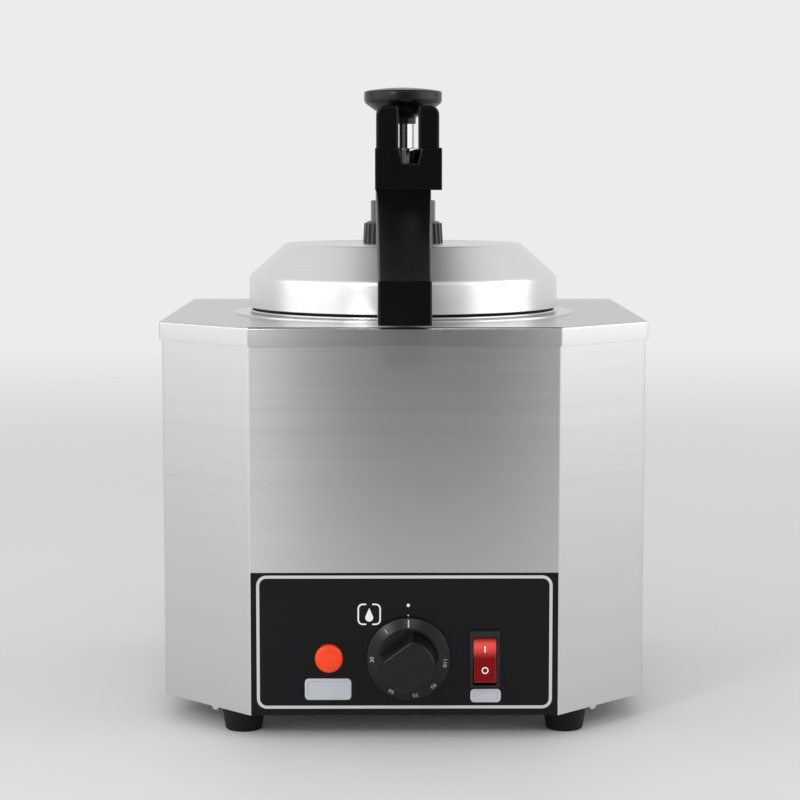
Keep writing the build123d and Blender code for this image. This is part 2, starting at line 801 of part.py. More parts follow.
def make_pump_head():
    body = brick(head_left, head_right, head_front, head_back, head_z, head_top)
    uprights = body.edges().filter_by(Axis.Z).sort_by(Axis.Y)
    body = fillet(uprights[2:], head_back_round)
    body = fillet(body.edges().filter_by(Axis.Z).sort_by(Axis.Y)[:2], head_front_round)
    right_top = body.edges().filter_by(Axis.Y).group_by(Axis.Z)[-1].sort_by(Axis.X)[-1]
    body = fillet(right_top, head_top_round)
    body += ear(ear_left, -1)
    body += ear(ear_right, 1)
    floor = head_top - notch_depth
    notch = make_face(Polyline(
        (notch_left, head_top), (notch_left + notch_draw_in, floor),
        (notch_right - notch_draw_in, floor), (notch_right, head_top), close=True,
    ))
    depth = -head_front
    body -= extrude(Pos(0, head_front, 0) * (Plane.XZ * notch), -depth)
    body -= post(neck_radius, head_z, spigot_top)
    chamber_top = head_top - rod_gland_height
    body -= post(chamber_radius, spigot_top, chamber_top)
    body -= post(gland_radius, chamber_top, head_top)
    port_z = (spigot_top + chamber_top) / 2
    body -= pin_y(port_radius, port_y, 0, 0, port_z)
    body -= post(port_radius, head_z, port_z, 0, port_y)
    return body


def make_rod_gland():
    bottom = head_top - rod_gland_height
    gland = post(gland_radius, bottom, head_top)
    gland = chamfer(gland.edges().sort_by(Axis.Z)[-1], 0.6)
    return gland - post(rod_radius + rod_clearance, bottom, head_top)


def make_plunger_rod():
    return post(rod_radius, piston_top, knob_neck_z + knob_rod_depth)


def make_plunger_knob():
    rim_top = knob_rim_z + knob_rim_height
    crown = rim_top + knob_crown
    outline = [(0, knob_neck_z), (knob_neck_radius, knob_neck_z)]
    for step in range(knob_bowl_chords + 1):
        turn = math.radians(90 * step / knob_bowl_chords)
        radius = knob_neck_radius + (knob_radius - knob_neck_radius) * math.sin(turn)
        outline.append((radius, knob_rim_z - knob_bowl_depth * math.cos(turn)))
    outline.append((knob_radius, rim_top - knob_rim_bevel))
    for step in range(knob_crown_chords):
        radius = (knob_radius - knob_rim_bevel) * (1 - step / knob_crown_chords)
        fall = knob_crown * (radius / knob_radius) ** 2
        outline.append((radius, crown - fall))
    outline.append((0, crown))
    knob = turned(*outline)
    return knob - post(rod_radius, knob_neck_z, knob_neck_z + knob_rod_depth)


def make_piston():
    radius = bore_radius - piston_clearance
    middle = (piston_top + piston_bottom) / 2
    piston = post(radius, piston_bottom, piston_top)
    groove = post(radius, middle - seal_height / 2, middle + seal_height / 2)
    groove -= post(radius - seal_depth, middle - seal_height / 2, middle + seal_height / 2)
    piston -= groove
    ring = (rod_radius + radius - seal_depth) / 2
    for port in range(piston_port_count):
        place = Rot(0, 0, 45 + port * 360 / piston_port_count)
        piston -= place * post(piston_port_radius, piston_bottom, piston_top, ring)
    return piston


def make_piston_seal():
    middle = (piston_top + piston_bottom) / 2
    low, high = middle - seal_height / 2, middle + seal_height / 2
    inner = bore_radius - piston_clearance - seal_depth
    return post(bore_radius - seal_clearance, low, high) - post(inner, low, high)


def make_return_spring():
    """Closed coil between the valve body and the piston, wound as one helix."""
    low = valve_deck + spring_wire_radius
    high = piston_bottom - spring_wire_radius
    path = Pos(0, 0, low) * Helix((high - low) / spring_turns, high - low, spring_radius)
    section = Plane(origin=path @ 0, z_dir=path % 0) * RegularPolygon(spring_wire_radius, 6)
    return sweep(section, path, is_frenet=True)


def make_valve_body():
    top = valve_deck + valve_socket_depth
    body = post(valve_radius, valve_floor, top)
    body = chamfer(body.edges().sort_by(Axis.Z)[0], valve_edge)
    body -= post(column_radius, valve_deck, top)
    body -= post(valve_well_radius, valve_deck - valve_well_depth, valve_deck)
    body -= post(valve_seat_radius, valve_floor, valve_deck)
    slot = brick(
        -valve_radius, valve_radius, -intake_slot_width / 2, intake_slot_width / 2,
        valve_floor, valve_floor + intake_slot_height,
    )
    return body - slot - Rot(0, 0, 90) * slot


def ball_center_z():
    """Height at which the ball rests on the edge of its seat."""
    seat = valve_deck - valve_well_depth
    return seat + math.sqrt((ball_radius + cage_gap / 10) ** 2 - valve_seat_radius ** 2)


def make_valve_ball():
    return Pos(0, 0, ball_center_z()) * Sphere(ball_radius)


def make_ball_cage():
    bar_z = ball_center_z() + ball_radius + ball_lift + cage_gap
    top = bar_z + cage_top
    outer, inner = valve_well_radius + cage_wall, valve_well_radius
    cage = post(outer, valve_deck, top) - post(inner, valve_deck, top)
    return cage + (brick(-outer, outer, -cage_bar / 2, cage_bar / 2, bar_z, top) & post(outer, bar_z, top))


# --- spout ---------------------------------------------------------------------------
def make_spout():
    root_y = -(column_radius + spout_root_gap)
    nozzle_top = nozzle_bottom + nozzle_height
    heel_y = -spout_reach + nozzle_length
    slope = (head_z - nozzle_top) / (spout_reach + head_front)

    def arm_top(y):
        return head_z - (head_front - y) * slope

    side = make_face(Polyline(
        (root_y, head_z), (head_front, head_z), (-spout_reach, nozzle_top),
        (-spout_reach, nozzle_bottom), (heel_y, nozzle_bottom),
        (heel_y, arm_top(heel_y) - arm_thickness),
        (root_y, arm_top(root_y) - arm_thickness), close=True,
    ))
    spout = extrude(Plane.YZ * side, spout_root_width, both=True)
    root, tip = spout_root_width / 2, spout_tip_width / 2
    taper = make_face(Polyline(
        (-root, root_y), (-root, head_front), (-tip, -spout_reach),
        (tip, -spout_reach), (root, head_front), (root, root_y), close=True,
    ))
    spout &= extrude(Pos(0, 0, nozzle_bottom) * taper, head_z - nozzle_bottom)
    along = spout.edges().filter_by(lambda e: e.center().Y < head_front - 1 and e.length > nozzle_length)
    spout = fillet(along.filter_by(lambda e: e.center().Z > arm_top(e.center().Y) - 1), spout_edge_round)
    outlet_y = -spout_reach + nozzle_length / 2
    spout -= post(outlet_bore_radius, nozzle_bottom, nozzle_bottom + outlet_bore_length, 0, outlet_y)
    rise = math.degrees(math.atan(slope))
    start = Vector(0, port_y, arm_top(port_y) - arm_thickness / 2)
    end = Vector(0, outlet_y, nozzle_bottom + outlet_bore_length - outlet_bore_radius / 2)
    duct = Plane(origin=start, z_dir=end - start) * Pos(0, 0, (end - start).length / 2)
    spout -= duct * Cylinder(spout_bore_radius, (end - start).length)
    return spout - post(port_radius, start.Z, head_z, 0, port_y)


# --- write every sub-part --------------------------------------------------------------
os.makedirs("parts", exist_ok=True)

save("top_plate", make_top_plate())
save("body_wrap", make_body_wrap())
save("rear_panel", make_rear_panel())
save("rear_screws", make_rear_screws())
save("base_plate", make_base_plate())
save("rubber_feet", make_rubber_feet())
save("foot_screws", make_foot_screws())
save("base_screws", make_base_screws())
save("water_well", make_water_well())
save("inner_jar", make_inner_jar())
save("heating_element", make_heating_element())
save("heater_clamp", make_heater_clamp())
save("limit_cutout", make_limit_cutout())
save("insulation_band", make_insulation_band())
save("terminal_block", make_terminal_block())
save("cable_gland", make_cable_gland())
save("gland_nut", make_gland_nut())
save("control_panel", make_control_panel())
plate = make_legend_plate(lamp_plate_x, lamp_plate_z, lamp_plate_width, lamp_plate_height)
save("lamp_plate", plate)
plate = make_legend_plate(switch_plate_x, switch_plate_z, switch_plate_width, switch_plate_height)
save("switch_plate", plate)
save("indicator_lens", make_indicator_lens())
save("indicator_body", make_indicator_body())
save("rocker_bezel", make_rocker_bezel())
save("rocker_button", make_rocker_button())
save("thermostat_knob", make_thermostat_knob())
save("thermostat_shaft", make_thermostat_shaft())
save("thermostat_body", make_thermostat_body())
save("sensing_bulb", make_sensing_bulb())
save("lid_shell", make_lid_shell())
save("lid_gasket", make_lid_gasket())
save("pump_flange", make_pump_flange())
save("collar_nut", make_collar_nut())
save("pump_column", make_pump_column())
save("pump_head", make_pump_head())
save("rod_gland", make_rod_gland())
save("plunger_rod", make_plunger_rod())
save("plunger_knob", make_plunger_knob())
save("piston", make_piston())
save("piston_seal", make_piston_seal())
save("return_spring", make_return_spring())
save("valve_body", make_valve_body())
save("valve_ball", make_valve_ball())
save("ball_cage", make_ball_cage())
save("spout", make_spout())
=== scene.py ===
# %% [markdown]
# # A hot fudge topping warmer, dressed for its picture
#
# The warmer is a small steel housing with a water bath inside, a jar that hangs in the
# water, and a spun lid that carries a hand pump with a long black spout. Its working parts
# arrive here as a imported model, which stays where it is. This lesson goes over it piece
# by piece and gives each one the surface that the real one has: brushed sheet, spun metal,
# gloss mouldings, printed lines. Where a part is turned or pressed, its smooth shape is
# modelled again, in the same place, because the imported one is made of flat facets.

# %% Load the imported model
import json
import math
import bmesh
import bpy
from mathutils import Matrix, Vector


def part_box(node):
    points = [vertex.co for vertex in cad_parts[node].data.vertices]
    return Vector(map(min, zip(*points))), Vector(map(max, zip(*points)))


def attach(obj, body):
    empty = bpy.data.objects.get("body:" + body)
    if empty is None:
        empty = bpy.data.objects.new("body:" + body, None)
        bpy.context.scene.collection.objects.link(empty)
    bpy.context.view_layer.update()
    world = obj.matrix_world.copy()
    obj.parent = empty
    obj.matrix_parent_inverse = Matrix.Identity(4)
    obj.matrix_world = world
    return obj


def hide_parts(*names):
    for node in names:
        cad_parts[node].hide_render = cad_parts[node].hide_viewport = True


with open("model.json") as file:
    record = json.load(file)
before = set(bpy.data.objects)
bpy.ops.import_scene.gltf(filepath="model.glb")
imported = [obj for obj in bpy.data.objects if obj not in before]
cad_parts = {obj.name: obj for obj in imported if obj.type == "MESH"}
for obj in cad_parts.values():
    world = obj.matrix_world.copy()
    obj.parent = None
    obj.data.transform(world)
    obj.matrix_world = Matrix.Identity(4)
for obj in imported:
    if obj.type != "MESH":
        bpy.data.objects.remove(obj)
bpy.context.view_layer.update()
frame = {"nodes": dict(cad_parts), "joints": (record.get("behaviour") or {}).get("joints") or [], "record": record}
nodes = frame["nodes"]
print("pieces in the packed model:", len(nodes))

# %% [markdown]
# ## The camera comes first
#
# A product shot is judged from one place, so the camera is set before anything is made.
# The lines of the deck and the circles of the lid say how far away and how high it stood.
# A long lens from about 1.2 metres keeps the upright lines nearly parallel, as they are
# in the picture. It stood a touch to the left, so the near corners sit further right than
# the far ones. The tiny sideways shift stands for the crop of the picture.

# %% Set the camera
mm = 0.001
hair = 1e-6
photo_width = 800
scene = bpy.context.scene
camera_data = bpy.data.cameras.new("camera")
camera_data.sensor_width = 36.0
camera_data.lens = 100.3
camera_data.shift_x = -3 / photo_width
camera = bpy.data.objects.new("camera", camera_data)
camera.location = (-0.007, -1.19305, 0.282)
camera.rotation_euler = (math.radians(84.14), 0, math.radians(-0.33))
scene.collection.objects.link(camera)
scene.camera = camera
scene.view_settings.view_transform = "Standard"
print("camera at", [round(v, 3) for v in camera.location])

# %% [markdown]
# ## Places that many pieces share
#
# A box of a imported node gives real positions, so nothing here is guessed twice. The lid,
# the jar and the pump all turn about one upright line, the pump's axis.

# %% Read the shared places
deck_low, deck_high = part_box("top_plate")
wrap_low, wrap_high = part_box("body_wrap")
panel_low, panel_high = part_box("control_panel")
well_low, well_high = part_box("water_well")
jar_low, jar_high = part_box("inner_jar")
lid_low, lid_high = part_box("lid_shell")
column_low, column_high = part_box("pump_column")
axis_y = (column_low.y + column_high.y) / 2
deck_z = deck_high.z
face_y = panel_low.y
sheet = 1.2 * mm
print("pump axis at y =", round(axis_y, 5), "and deck at z =", round(deck_z, 4))

# %% [markdown]
# ## Small helpers for bmesh
#
# Most pieces here are one of three kinds. Turned pieces are an outline spun about a line.
# Sheet pieces are a flat outline, with holes, pushed to a thickness. Moulded pieces are a
# block with rounded edges. Each kind gets a helper, so that a piece's own cell holds only
# its sizes. An outline's corner is rounded by bevelling its vertex before it is spun or
# pushed, which puts the rounding exactly where the tool of the real maker leaves it.

# %% Helpers for outlines
def outline(bm, points, closed=True, steps=4):
    """Edges through points of (x, y, z), where a fourth number is the corner's set-back."""
    verts = [bm.verts.new(p[:3]) for p in points]
    pairs = list(zip(verts, verts[1:] + verts[:1])) if closed else list(zip(verts, verts[1:]))
    for a, b in pairs:
        bm.edges.new((a, b))
    for vert, point in zip(verts, points):
        if len(point) > 3 and point[3] > 0:
            bmesh.ops.bevel(
                bm, geom=[vert], offset=point[3], offset_type="OFFSET", segments=steps,
                profile=0.5, affect="VERTICES", clamp_overlap=False, material=-1,
            )


def rectangle(u0, u1, v0, v1, corner=0.0):
    """Four points of an upright rectangle in the XZ plane, with one corner set-back."""
    return [(u0, 0, v0, corner), (u1, 0, v0, corner), (u1, 0, v1, corner), (u0, 0, v1, corner)]


def circle(bm, radius, x, z, segments=64):
    """A ring of edges in the XZ plane."""
    place = Matrix.Translation((x, 0, z)) @ Matrix.Rotation(math.radians(90), 4, "X")
    bmesh.ops.create_circle(bm, cap_ends=False, segments=segments, radius=radius, matrix=place)


def edges_at(bm, test, sharper_than=30):
    """Edges whose faces meet at more than that many degrees and whose middle passes the test."""
    limit = math.radians(sharper_than)
    found = []
    for edge in bm.edges:
        middle = (edge.verts[0].co + edge.verts[1].co) / 2
        if len(edge.link_faces) == 2 and edge.calc_face_angle(0) > limit and test(middle):
            found.append(edge)
    return found


def round_edges(bm, edges, offset, segments=3):
    """Roll the given edges over."""
    bmesh.ops.bevel(
        bm, geom=edges, offset=offset, offset_type="OFFSET", segments=segments, profile=0.5,
        affect="EDGES", clamp_overlap=False, material=-1,
    )


def verts_in(made):
    """The vertices among the things that an operator made."""
    return [g for g in made if isinstance(g, bmesh.types.BMVert)]


def move(bm, verts, vector):
    bmesh.ops.translate(bm, verts=verts, vec=vector)


def face_outwards(bm):
    bmesh.ops.recalc_face_normals(bm, faces=bm.faces[:])


def push(bm, faces, vector):
    """Extrude faces along a vector and return the faces at the new end."""
    made = bmesh.ops.extrude_face_region(bm, geom=faces)["geom"]
    move(bm, verts_in(made), vector)
    return [g for g in made if isinstance(g, bmesh.types.BMFace)]


def fill(bm, edges):
    """Fill an outline with triangles and leave the outlines inside it open."""
    bmesh.ops.triangle_fill(bm, use_beauty=True, use_dissolve=False, edges=edges)


def face_of(bm):
    """Fill the only outline in a bmesh with one face."""
    return bmesh.ops.contextual_create(bm, geom=bm.edges[:])["faces"]


def round_hole(bm, radius, segments, place):
    """The edges of a new ring in a level plane, ready for a fill around it."""
    made = bmesh.ops.create_circle(
        bm, cap_ends=False, segments=segments, radius=radius, matrix=place,
    )
    return list({e for v in made["verts"] for e in v.link_edges})


print("outline helpers ready")

# %% Helpers for whole pieces
def join(bm, other, place=None):
    """Put another bmesh into this one, at a place, and close the other."""
    if place is not None:
        bmesh.ops.transform(other, matrix=place, verts=other.verts[:])
    face_outwards(other)
    mesh = bpy.data.meshes.new("passing")
    other.to_mesh(mesh)
    other.free()
    bm.from_mesh(mesh)
    bpy.data.meshes.remove(mesh)


def spun(bm, points, x=0.0, y=axis_y, steps=96, closed=True, corner_steps=4):
    """Spin an outline of (radius, height, set-back) about an upright line."""
    start = bmesh.new()
    corners = [(x + p[0], y, p[1], p[2] if len(p) > 2 else 0) for p in points]
    outline(start, corners, closed, corner_steps)
    bmesh.ops.spin(
        start, geom=start.verts[:] + start.edges[:], cent=(x, y, 0), axis=(0, 0, 1),
        dvec=(0, 0, 0), angle=math.tau, steps=steps, use_merge=True,
    )
    bmesh.ops.remove_doubles(start, verts=start.verts[:], dist=hair)
    join(bm, start)


def plate(bm, loops, back):
    """Fill closed outlines in the XZ plane, holes left open, and push them along Y."""
    flat = bmesh.new()
    for loop in loops:
        if isinstance(loop, tuple):
            circle(flat, *loop)
        else:
            outline(flat, loop, steps=6)
    fill(flat, flat.edges[:])
    face_outwards(flat)
    push(flat, flat.faces[:], (0, back, 0))
    join(bm, flat)


def block(bm, low, high, edge=0.0, place=None):
    """A closed block between two corners with all its edges rolled over."""
    cube = bmesh.new()
    middle = (Vector(low) + Vector(high)) / 2
    size = Vector(high) - Vector(low)
    matrix = Matrix.Translation(middle) @ Matrix.Diagonal((*size, 1))
    bmesh.ops.create_cube(cube, size=1.0, matrix=matrix)
    if edge:
        round_edges(cube, cube.edges[:], edge)
    join(bm, cube, place)


def grain_uv(bm, turned):
    """A UV map in metres whose U runs level along each face, or round the pump's axis."""
    layer = bm.loops.layers.uv.verify()
    up = Vector((0, 0, 1))
    for face in bm.faces:
        along = up.cross(face.normal)
        if turned:
            centre = face.calc_center_median()
            along = up.cross(Vector((centre.x, centre.y - axis_y, 0)))
        elif abs(face.normal.z) > 0.9:
            along = Vector((1, 0, 0))
        if along.length < 1e-9:
            along = Vector((1, 0, 0))
        along.normalize()
        across = face.normal.cross(along)
        for loop in face.loops:
            loop[layer].uv = (loop.vert.co.dot(along), loop.vert.co.dot(across))


def finish_piece(
    bm, name, body, slot, stands_for=(), finish=None, turned=False, edge=0.0, flat=False,
):
    """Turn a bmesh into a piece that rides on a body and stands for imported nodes."""
    bmesh.ops.remove_doubles(bm, verts=bm.verts[:], dist=hair)
    grain_uv(bm, turned)
    mesh = bpy.data.meshes.new(name)
    bm.to_mesh(mesh)
    bm.free()
    for polygon in mesh.polygons:
        polygon.use_smooth = not flat
    mesh.set_sharp_from_angle(angle=math.radians(32))
    piece = bpy.data.objects.new(name, mesh)
    scene.collection.objects.link(piece)
    mesh.materials.append(finishes[finish or slot])
    if edge:
        roll = piece.modifiers.new("edge_roll", "BEVEL")
        roll.width = edge
        roll.segments = 2
        roll.limit_method = "ANGLE"
        roll.angle_limit = math.radians(50)
        roll.use_clamp_overlap = True
        level = piece.modifiers.new("flat_faces_stay_flat", "WEIGHTED_NORMAL")
        level.keep_sharp = True
    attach(piece, body)
    if stands_for:
        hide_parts(*stands_for)
    print(f"{name}: {len(mesh.polygons)} faces on {body}")


def turned_piece(points, name, body, slot, node, **spin):
    """Spin an outline about the pump's axis into the stand-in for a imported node."""
    bm = bmesh.new()
    spun(bm, points, **spin)
    finish_piece(bm, name, body, slot, [node], turned=True)


print("piece helpers ready")

# %% [markdown]
# ## Shader groups for marks that many finishes share
#
# Brushing, turning marks, moulding grain and handling smudges each show on several
# finishes. Each is one node group with named inputs, placed in a material with that
# material's own numbers. A group hands out values only. The Principled shader, and any
# Fresnel or Layer Weight, stay in the material.

# %% Helpers for node groups and materials
def new_group(name, inputs, outputs):
    """A shader node group with float or vector sockets, and its two end nodes."""
    group = bpy.data.node_groups.new(name, "ShaderNodeTree")
    for label, value in inputs.items():
        kind = "NodeSocketVector" if value is None else "NodeSocketFloat"
        socket = group.interface.new_socket(name=label, in_out="INPUT", socket_type=kind)
        if value is not None:
            socket.default_value = value
    for label, kind in outputs.items():
        group.interface.new_socket(name=label, in_out="OUTPUT", socket_type=kind)
    start = group.nodes.new("NodeGroupInput")
    end = group.nodes.new("NodeGroupOutput")
    return group, start, end


def add(tree, kind, inputs=None, **settings):
    """Add a node, set its options, and set or link its inputs."""
    node = tree.nodes.new(kind)
    for key, value in settings.items():
        setattr(node, key, value)
    for key, value in (inputs or {}).items():
        if isinstance(value, bpy.types.NodeSocket):
            tree.links.new(value, node.inputs[key])
        else:
            node.inputs[key].default_value = value
    return node


def maths(tree, operation, a, b=0.0):
    """One Math node's result."""
    return add(tree, "ShaderNodeMath", {0: a, 1: b}, operation=operation).outputs[0]


def noise(tree, vector, scale, detail=3.0, roughness=0.5):
    """The value of a Noise texture."""
    inputs = {"Vector": vector, "Scale": scale, "Detail": detail, "Roughness": roughness}
    return add(tree, "ShaderNodeTexNoise", inputs).outputs["Fac"]


def span(tree, value, low, high):
    """Map 0..1 to low..high."""
    inputs = {"Value": value, "To Min": low, "To Max": high}
    return add(tree, "ShaderNodeMapRange", inputs).outputs["Result"]


def eased(tree, value, low, high):
    """0 at low and 1 at high, with soft ends."""
    inputs = {"Value": value, "From Min": low, "From Max": high}
    node = add(tree, "ShaderNodeMapRange", inputs, interpolation_type="SMOOTHSTEP")
    return node.outputs["Result"]


print("node helpers ready")

# %% [markdown]
# ### Brushed grain
#
# A belt sander leaves long, very thin scratches that all run one way. Stretching a noise
# along U gives them. Two layers, one fine and one coarser, keep the sheet from looking
# like a printed pattern.

# %% The level grain group
def make_level_grain():
    group, start, end = new_group(
        "level_grain", {"Vector": None, "Lines": 900.0, "Run": 6.0},
        {"Streak": "NodeSocketFloat", "Haze": "NodeSocketFloat"},
    )
    pitch = add(
        group, "ShaderNodeCombineXYZ", {0: start.outputs["Run"], 1: start.outputs["Lines"], 2: 1.0},
    )
    fine = add(
        group, "ShaderNodeVectorMath", {0: start.outputs["Vector"], 1: pitch.outputs[0]},
        operation="MULTIPLY",
    )
    coarse = add(
        group, "ShaderNodeVectorMath", {0: fine.outputs[0], 1: (0.35, 0.17, 1.0)},
        operation="MULTIPLY",
    )
    thin = noise(group, fine.outputs[0], 1.0, 4.0, 0.6)
    broad = noise(group, coarse.outputs[0], 1.0, 2.0, 0.5)
    both = maths(
        group, "ADD", maths(group, "MULTIPLY", thin, 0.6), maths(group, "MULTIPLY", broad, 0.4),
    )
    group.links.new(both, end.inputs["Streak"])
    group.links.new(noise(group, start.outputs["Vector"], 9.0, 2.0, 0.5), end.inputs["Haze"])
    return group


level_grain = make_level_grain()
print("group:", level_grain.name)

# %% [markdown]
# ### Turning marks
#
# Spun and turned metal carries fine rings about its axis. They depend only on the distance
# from the axis and the height, so the group works those out and feeds them to a noise.

# %% The turning marks group
def make_turning_marks():
    group, start, end = new_group(
        "turning_marks", {"Vector": None, "Centre X": 0.0, "Centre Y": 0.0, "Rings": 1500.0},
        {"Ring": "NodeSocketFloat", "Haze": "NodeSocketFloat"},
    )
    parts = add(group, "ShaderNodeSeparateXYZ", {0: start.outputs["Vector"]})
    x = maths(group, "SUBTRACT", parts.outputs[0], start.outputs["Centre X"])
    y = maths(group, "SUBTRACT", parts.outputs[1], start.outputs["Centre Y"])
    square = maths(group, "ADD", maths(group, "MULTIPLY", x, x), maths(group, "MULTIPLY", y, y))
    radius = maths(group, "SQRT", square)
    line = add(group, "ShaderNodeCombineXYZ", {0: radius, 1: parts.outputs[2], 2: 0.0})
    ring = noise(group, line.outputs[0], start.outputs["Rings"], 3.0, 0.6)
    group.links.new(ring, end.inputs["Ring"])
    group.links.new(noise(group, start.outputs["Vector"], 14.0, 2.0, 0.5), end.inputs["Haze"])
    return group


turning_marks = make_turning_marks()
print("group:", turning_marks.name)

# %% [markdown]
# ### Moulding grain and handling
#
# Black mouldings and rubber are never one flat tone. A fine grain roughens the surface, and
# broad soft patches show where hands and cloths have rubbed it.

# %% The moulding grain group
def make_moulding_grain():
    group, start, end = new_group(
        "moulding_grain", {"Vector": None, "Grain": 2500.0},
        {"Height": "NodeSocketFloat", "Rub": "NodeSocketFloat"},
    )
    group.links.new(
        noise(group, start.outputs["Vector"], start.outputs["Grain"], 2.0, 0.5),
        end.inputs["Height"],
    )
    broad = noise(group, start.outputs["Vector"], 45.0, 4.0, 0.6)
    group.links.new(span(group, broad, -0.3, 1.3), end.inputs["Rub"])
    return group


moulding_grain = make_moulding_grain()
print("group:", moulding_grain.name)

# %% [markdown]
# ### The bow of a flat sheet
#
# The front of the real warmer runs from light to dark and back. Here the sheet itself stays
# flat, and this group leans its normal outwards in step with X, on faces that look to the
# front or the back only. The lean is a stand-in for the many lights of a studio: it reaches
# about 13 degrees at the edges of the front, far more than a real sheet bows.

# %% The sheet bow group
def make_sheet_bow():
    group, start, end = new_group(
        "sheet_bow", {"Vector": None, "Normal": None, "Bow": 0.0}, {"Normal": "NodeSocketVector"},
    )
    place = add(group, "ShaderNodeSeparateXYZ", {0: start.outputs["Vector"]})
    facing = add(group, "ShaderNodeSeparateXYZ", {0: start.outputs["Normal"]})
    straight = maths(group, "ABSOLUTE", facing.outputs[1])
    mask = add(
        group, "ShaderNodeMapRange", {"Value": straight, "From Min": 0.92, "From Max": 0.99},
    ).outputs["Result"]
    lean = maths(
        group, "MULTIPLY", maths(group, "MULTIPLY", place.outputs[0], start.outputs["Bow"]), mask,
    )
    tilt = add(group, "ShaderNodeCombineXYZ", {0: lean})
    total = add(
        group, "ShaderNodeVectorMath", {0: start.outputs["Normal"], 1: tilt.outputs[0]},
        operation="ADD",
    )
    level = add(group, "ShaderNodeVectorMath", {0: total.outputs[0]}, operation="NORMALIZE")
    group.links.new(level.outputs[0], end.inputs["Normal"])
    return group


sheet_bow = make_sheet_bow()
print("group:", sheet_bow.name)

# %% [markdown]
# ## The metals
#
# Stainless sheet is a grey metal whose look comes almost wholly from what it mirrors. The
# grain makes that mirror smear across the scratches, so the shader is anisotropic, with its
# direction taken from the UV map. The roughness wanders a little with the grain, and a very
# low bump catches light on single scratches.

# %% Start a material
finishes = {}


def start_material(name):
    """A material kept under its name, its tree and its Principled shader."""
    material = bpy.data.materials.new(name)
    material.use_nodes = True
    tree = material.node_tree
    finishes[name] = material
    return material, tree, tree.nodes["Principled BSDF"]


def use_group(tree, group, vector, **values):
    """Place a node group, feed its vector and set its own numbers."""
    node = tree.nodes.new("ShaderNodeGroup")
    node.node_tree = group
    tree.links.new(vector, node.inputs["Vector"])
    for label, value in values.items():
        node.inputs[label.replace("_", " ")].default_value = value
    return node


def tone(tree, value, dark, light):
    """A colour between two greys or colours."""
    ramp = tree.nodes.new("ShaderNodeValToRGB")
    ramp.color_ramp.elements[0].color = (*dark, 1)
    ramp.color_ramp.elements[1].color = (*light, 1)
    tree.links.new(value, ramp.inputs[0])
    return ramp.outputs[0]


def raise_bump(tree, shader, height, distance, normal=None):
    """A Bump node into the shader's normal, over another normal if one is given."""
    bump = add(tree, "ShaderNodeBump", {"Height": height, "Distance": distance})
    if normal is not None:
        tree.links.new(normal, bump.inputs["Normal"])
    tree.links.new(bump.outputs[0], shader.inputs["Normal"])


def metal(tree, shader, colour, mark, haze, roughness, swing, smear):
    """Wire a metal whose roughness swings with its marks and smears along the UV map."""
    rough = maths(
        tree, "ADD", span(tree, mark, roughness - swing, roughness + swing),
        span(tree, haze, -0.03, 0.03),
    )
    tree.links.new(colour, shader.inputs["Base Color"])
    tree.links.new(rough, shader.inputs["Roughness"])
    shader.inputs["Metallic"].default_value = 1.0
    shader.inputs["Anisotropic"].default_value = smear
    shader.inputs["Anisotropic Rotation"].default_value = 0.25
    tangent = add(tree, "ShaderNodeTangent", direction_type="UV_MAP")
    tree.links.new(tangent.outputs[0], shader.inputs["Tangent"])


print("material helpers ready")

# %% Brushed sheet
darker, lighter = 0.93, 1.05
scratch_depth = 3e-6


def grey(value):
    return (value, value, value * 1.01)


def brushed_sheet(name, shade, roughness, lines=900.0, smear=0.7, bow=0.0):
    _, tree, shader = start_material(name)
    uv = add(tree, "ShaderNodeUVMap").outputs[0]
    marks = use_group(tree, level_grain, uv, Lines=lines)
    streak, haze = marks.outputs["Streak"], marks.outputs["Haze"]
    shades = grey(shade * darker), grey(shade * lighter)
    colour = tone(tree, span(tree, streak, 0.1, 0.9), *shades)
    metal(tree, shader, colour, streak, haze, roughness, 0.05, smear)
    place = add(tree, "ShaderNodeTexCoord")
    bowed = use_group(tree, sheet_bow, place.outputs["Object"], Bow=bow)
    tree.links.new(place.outputs["Normal"], bowed.inputs["Normal"])
    raise_bump(tree, shader, streak, scratch_depth, normal=bowed.outputs["Normal"])


brushed_sheet("brushed_deck", 0.61, 0.22, lines=700.0, bow=2.9)
brushed_sheet("brushed_body", 0.60, 0.25, bow=2.9)
brushed_sheet("plain_sheet", 0.50, 0.42, lines=300.0, smear=0.3)
print("brushed finishes:", list(finishes))

# %% Spun and drawn metal
def turned_metal(name, shade, roughness, rings=1500.0, smear=0.6, depth=3e-6, tint=(1, 1, 1)):
    _, tree, shader = start_material(name)
    place = add(tree, "ShaderNodeTexCoord").outputs["Object"]
    marks = use_group(tree, turning_marks, place, Rings=rings, Centre_Y=axis_y)
    ring, haze = marks.outputs["Ring"], marks.outputs["Haze"]
    shades = [[shade * share * t for t in tint] for share in (darker, lighter)]
    metal(tree, shader, tone(tree, ring, *shades), ring, haze, roughness, 0.04, smear)
    raise_bump(tree, shader, ring, depth)


turned_metal("spun_lid", 0.76, 0.32, smear=0.5)
turned_metal("drawn_steel", 0.66, 0.26, rings=700.0, smear=0.4)
turned_metal("chrome_trim", 0.45, 0.10, rings=900.0, smear=0.0, depth=1e-6)
turned_metal("bright_screws", 0.70, 0.20, rings=2600.0, smear=0.0)
turned_metal("dark_column", 0.12, 0.30, rings=900.0, smear=0.3)
turned_metal("heater_metal", 0.45, 0.55, rings=220.0, smear=0.0, depth=4e-5)
turned_metal("copper_bulb", 0.85, 0.30, smear=0.0, tint=(0.95, 0.55, 0.36))
print("finishes so far:", len(finishes))

# %% [markdown]
# ## The mouldings, rubber and paint
#
# Gloss black plastic is dark all through, with a clear sharp reflection on top. Its colour
# barely matters, but its roughness does: a thumb-worn patch is duller than the rest. Matt
# mouldings and rubber take more grain and less shine.

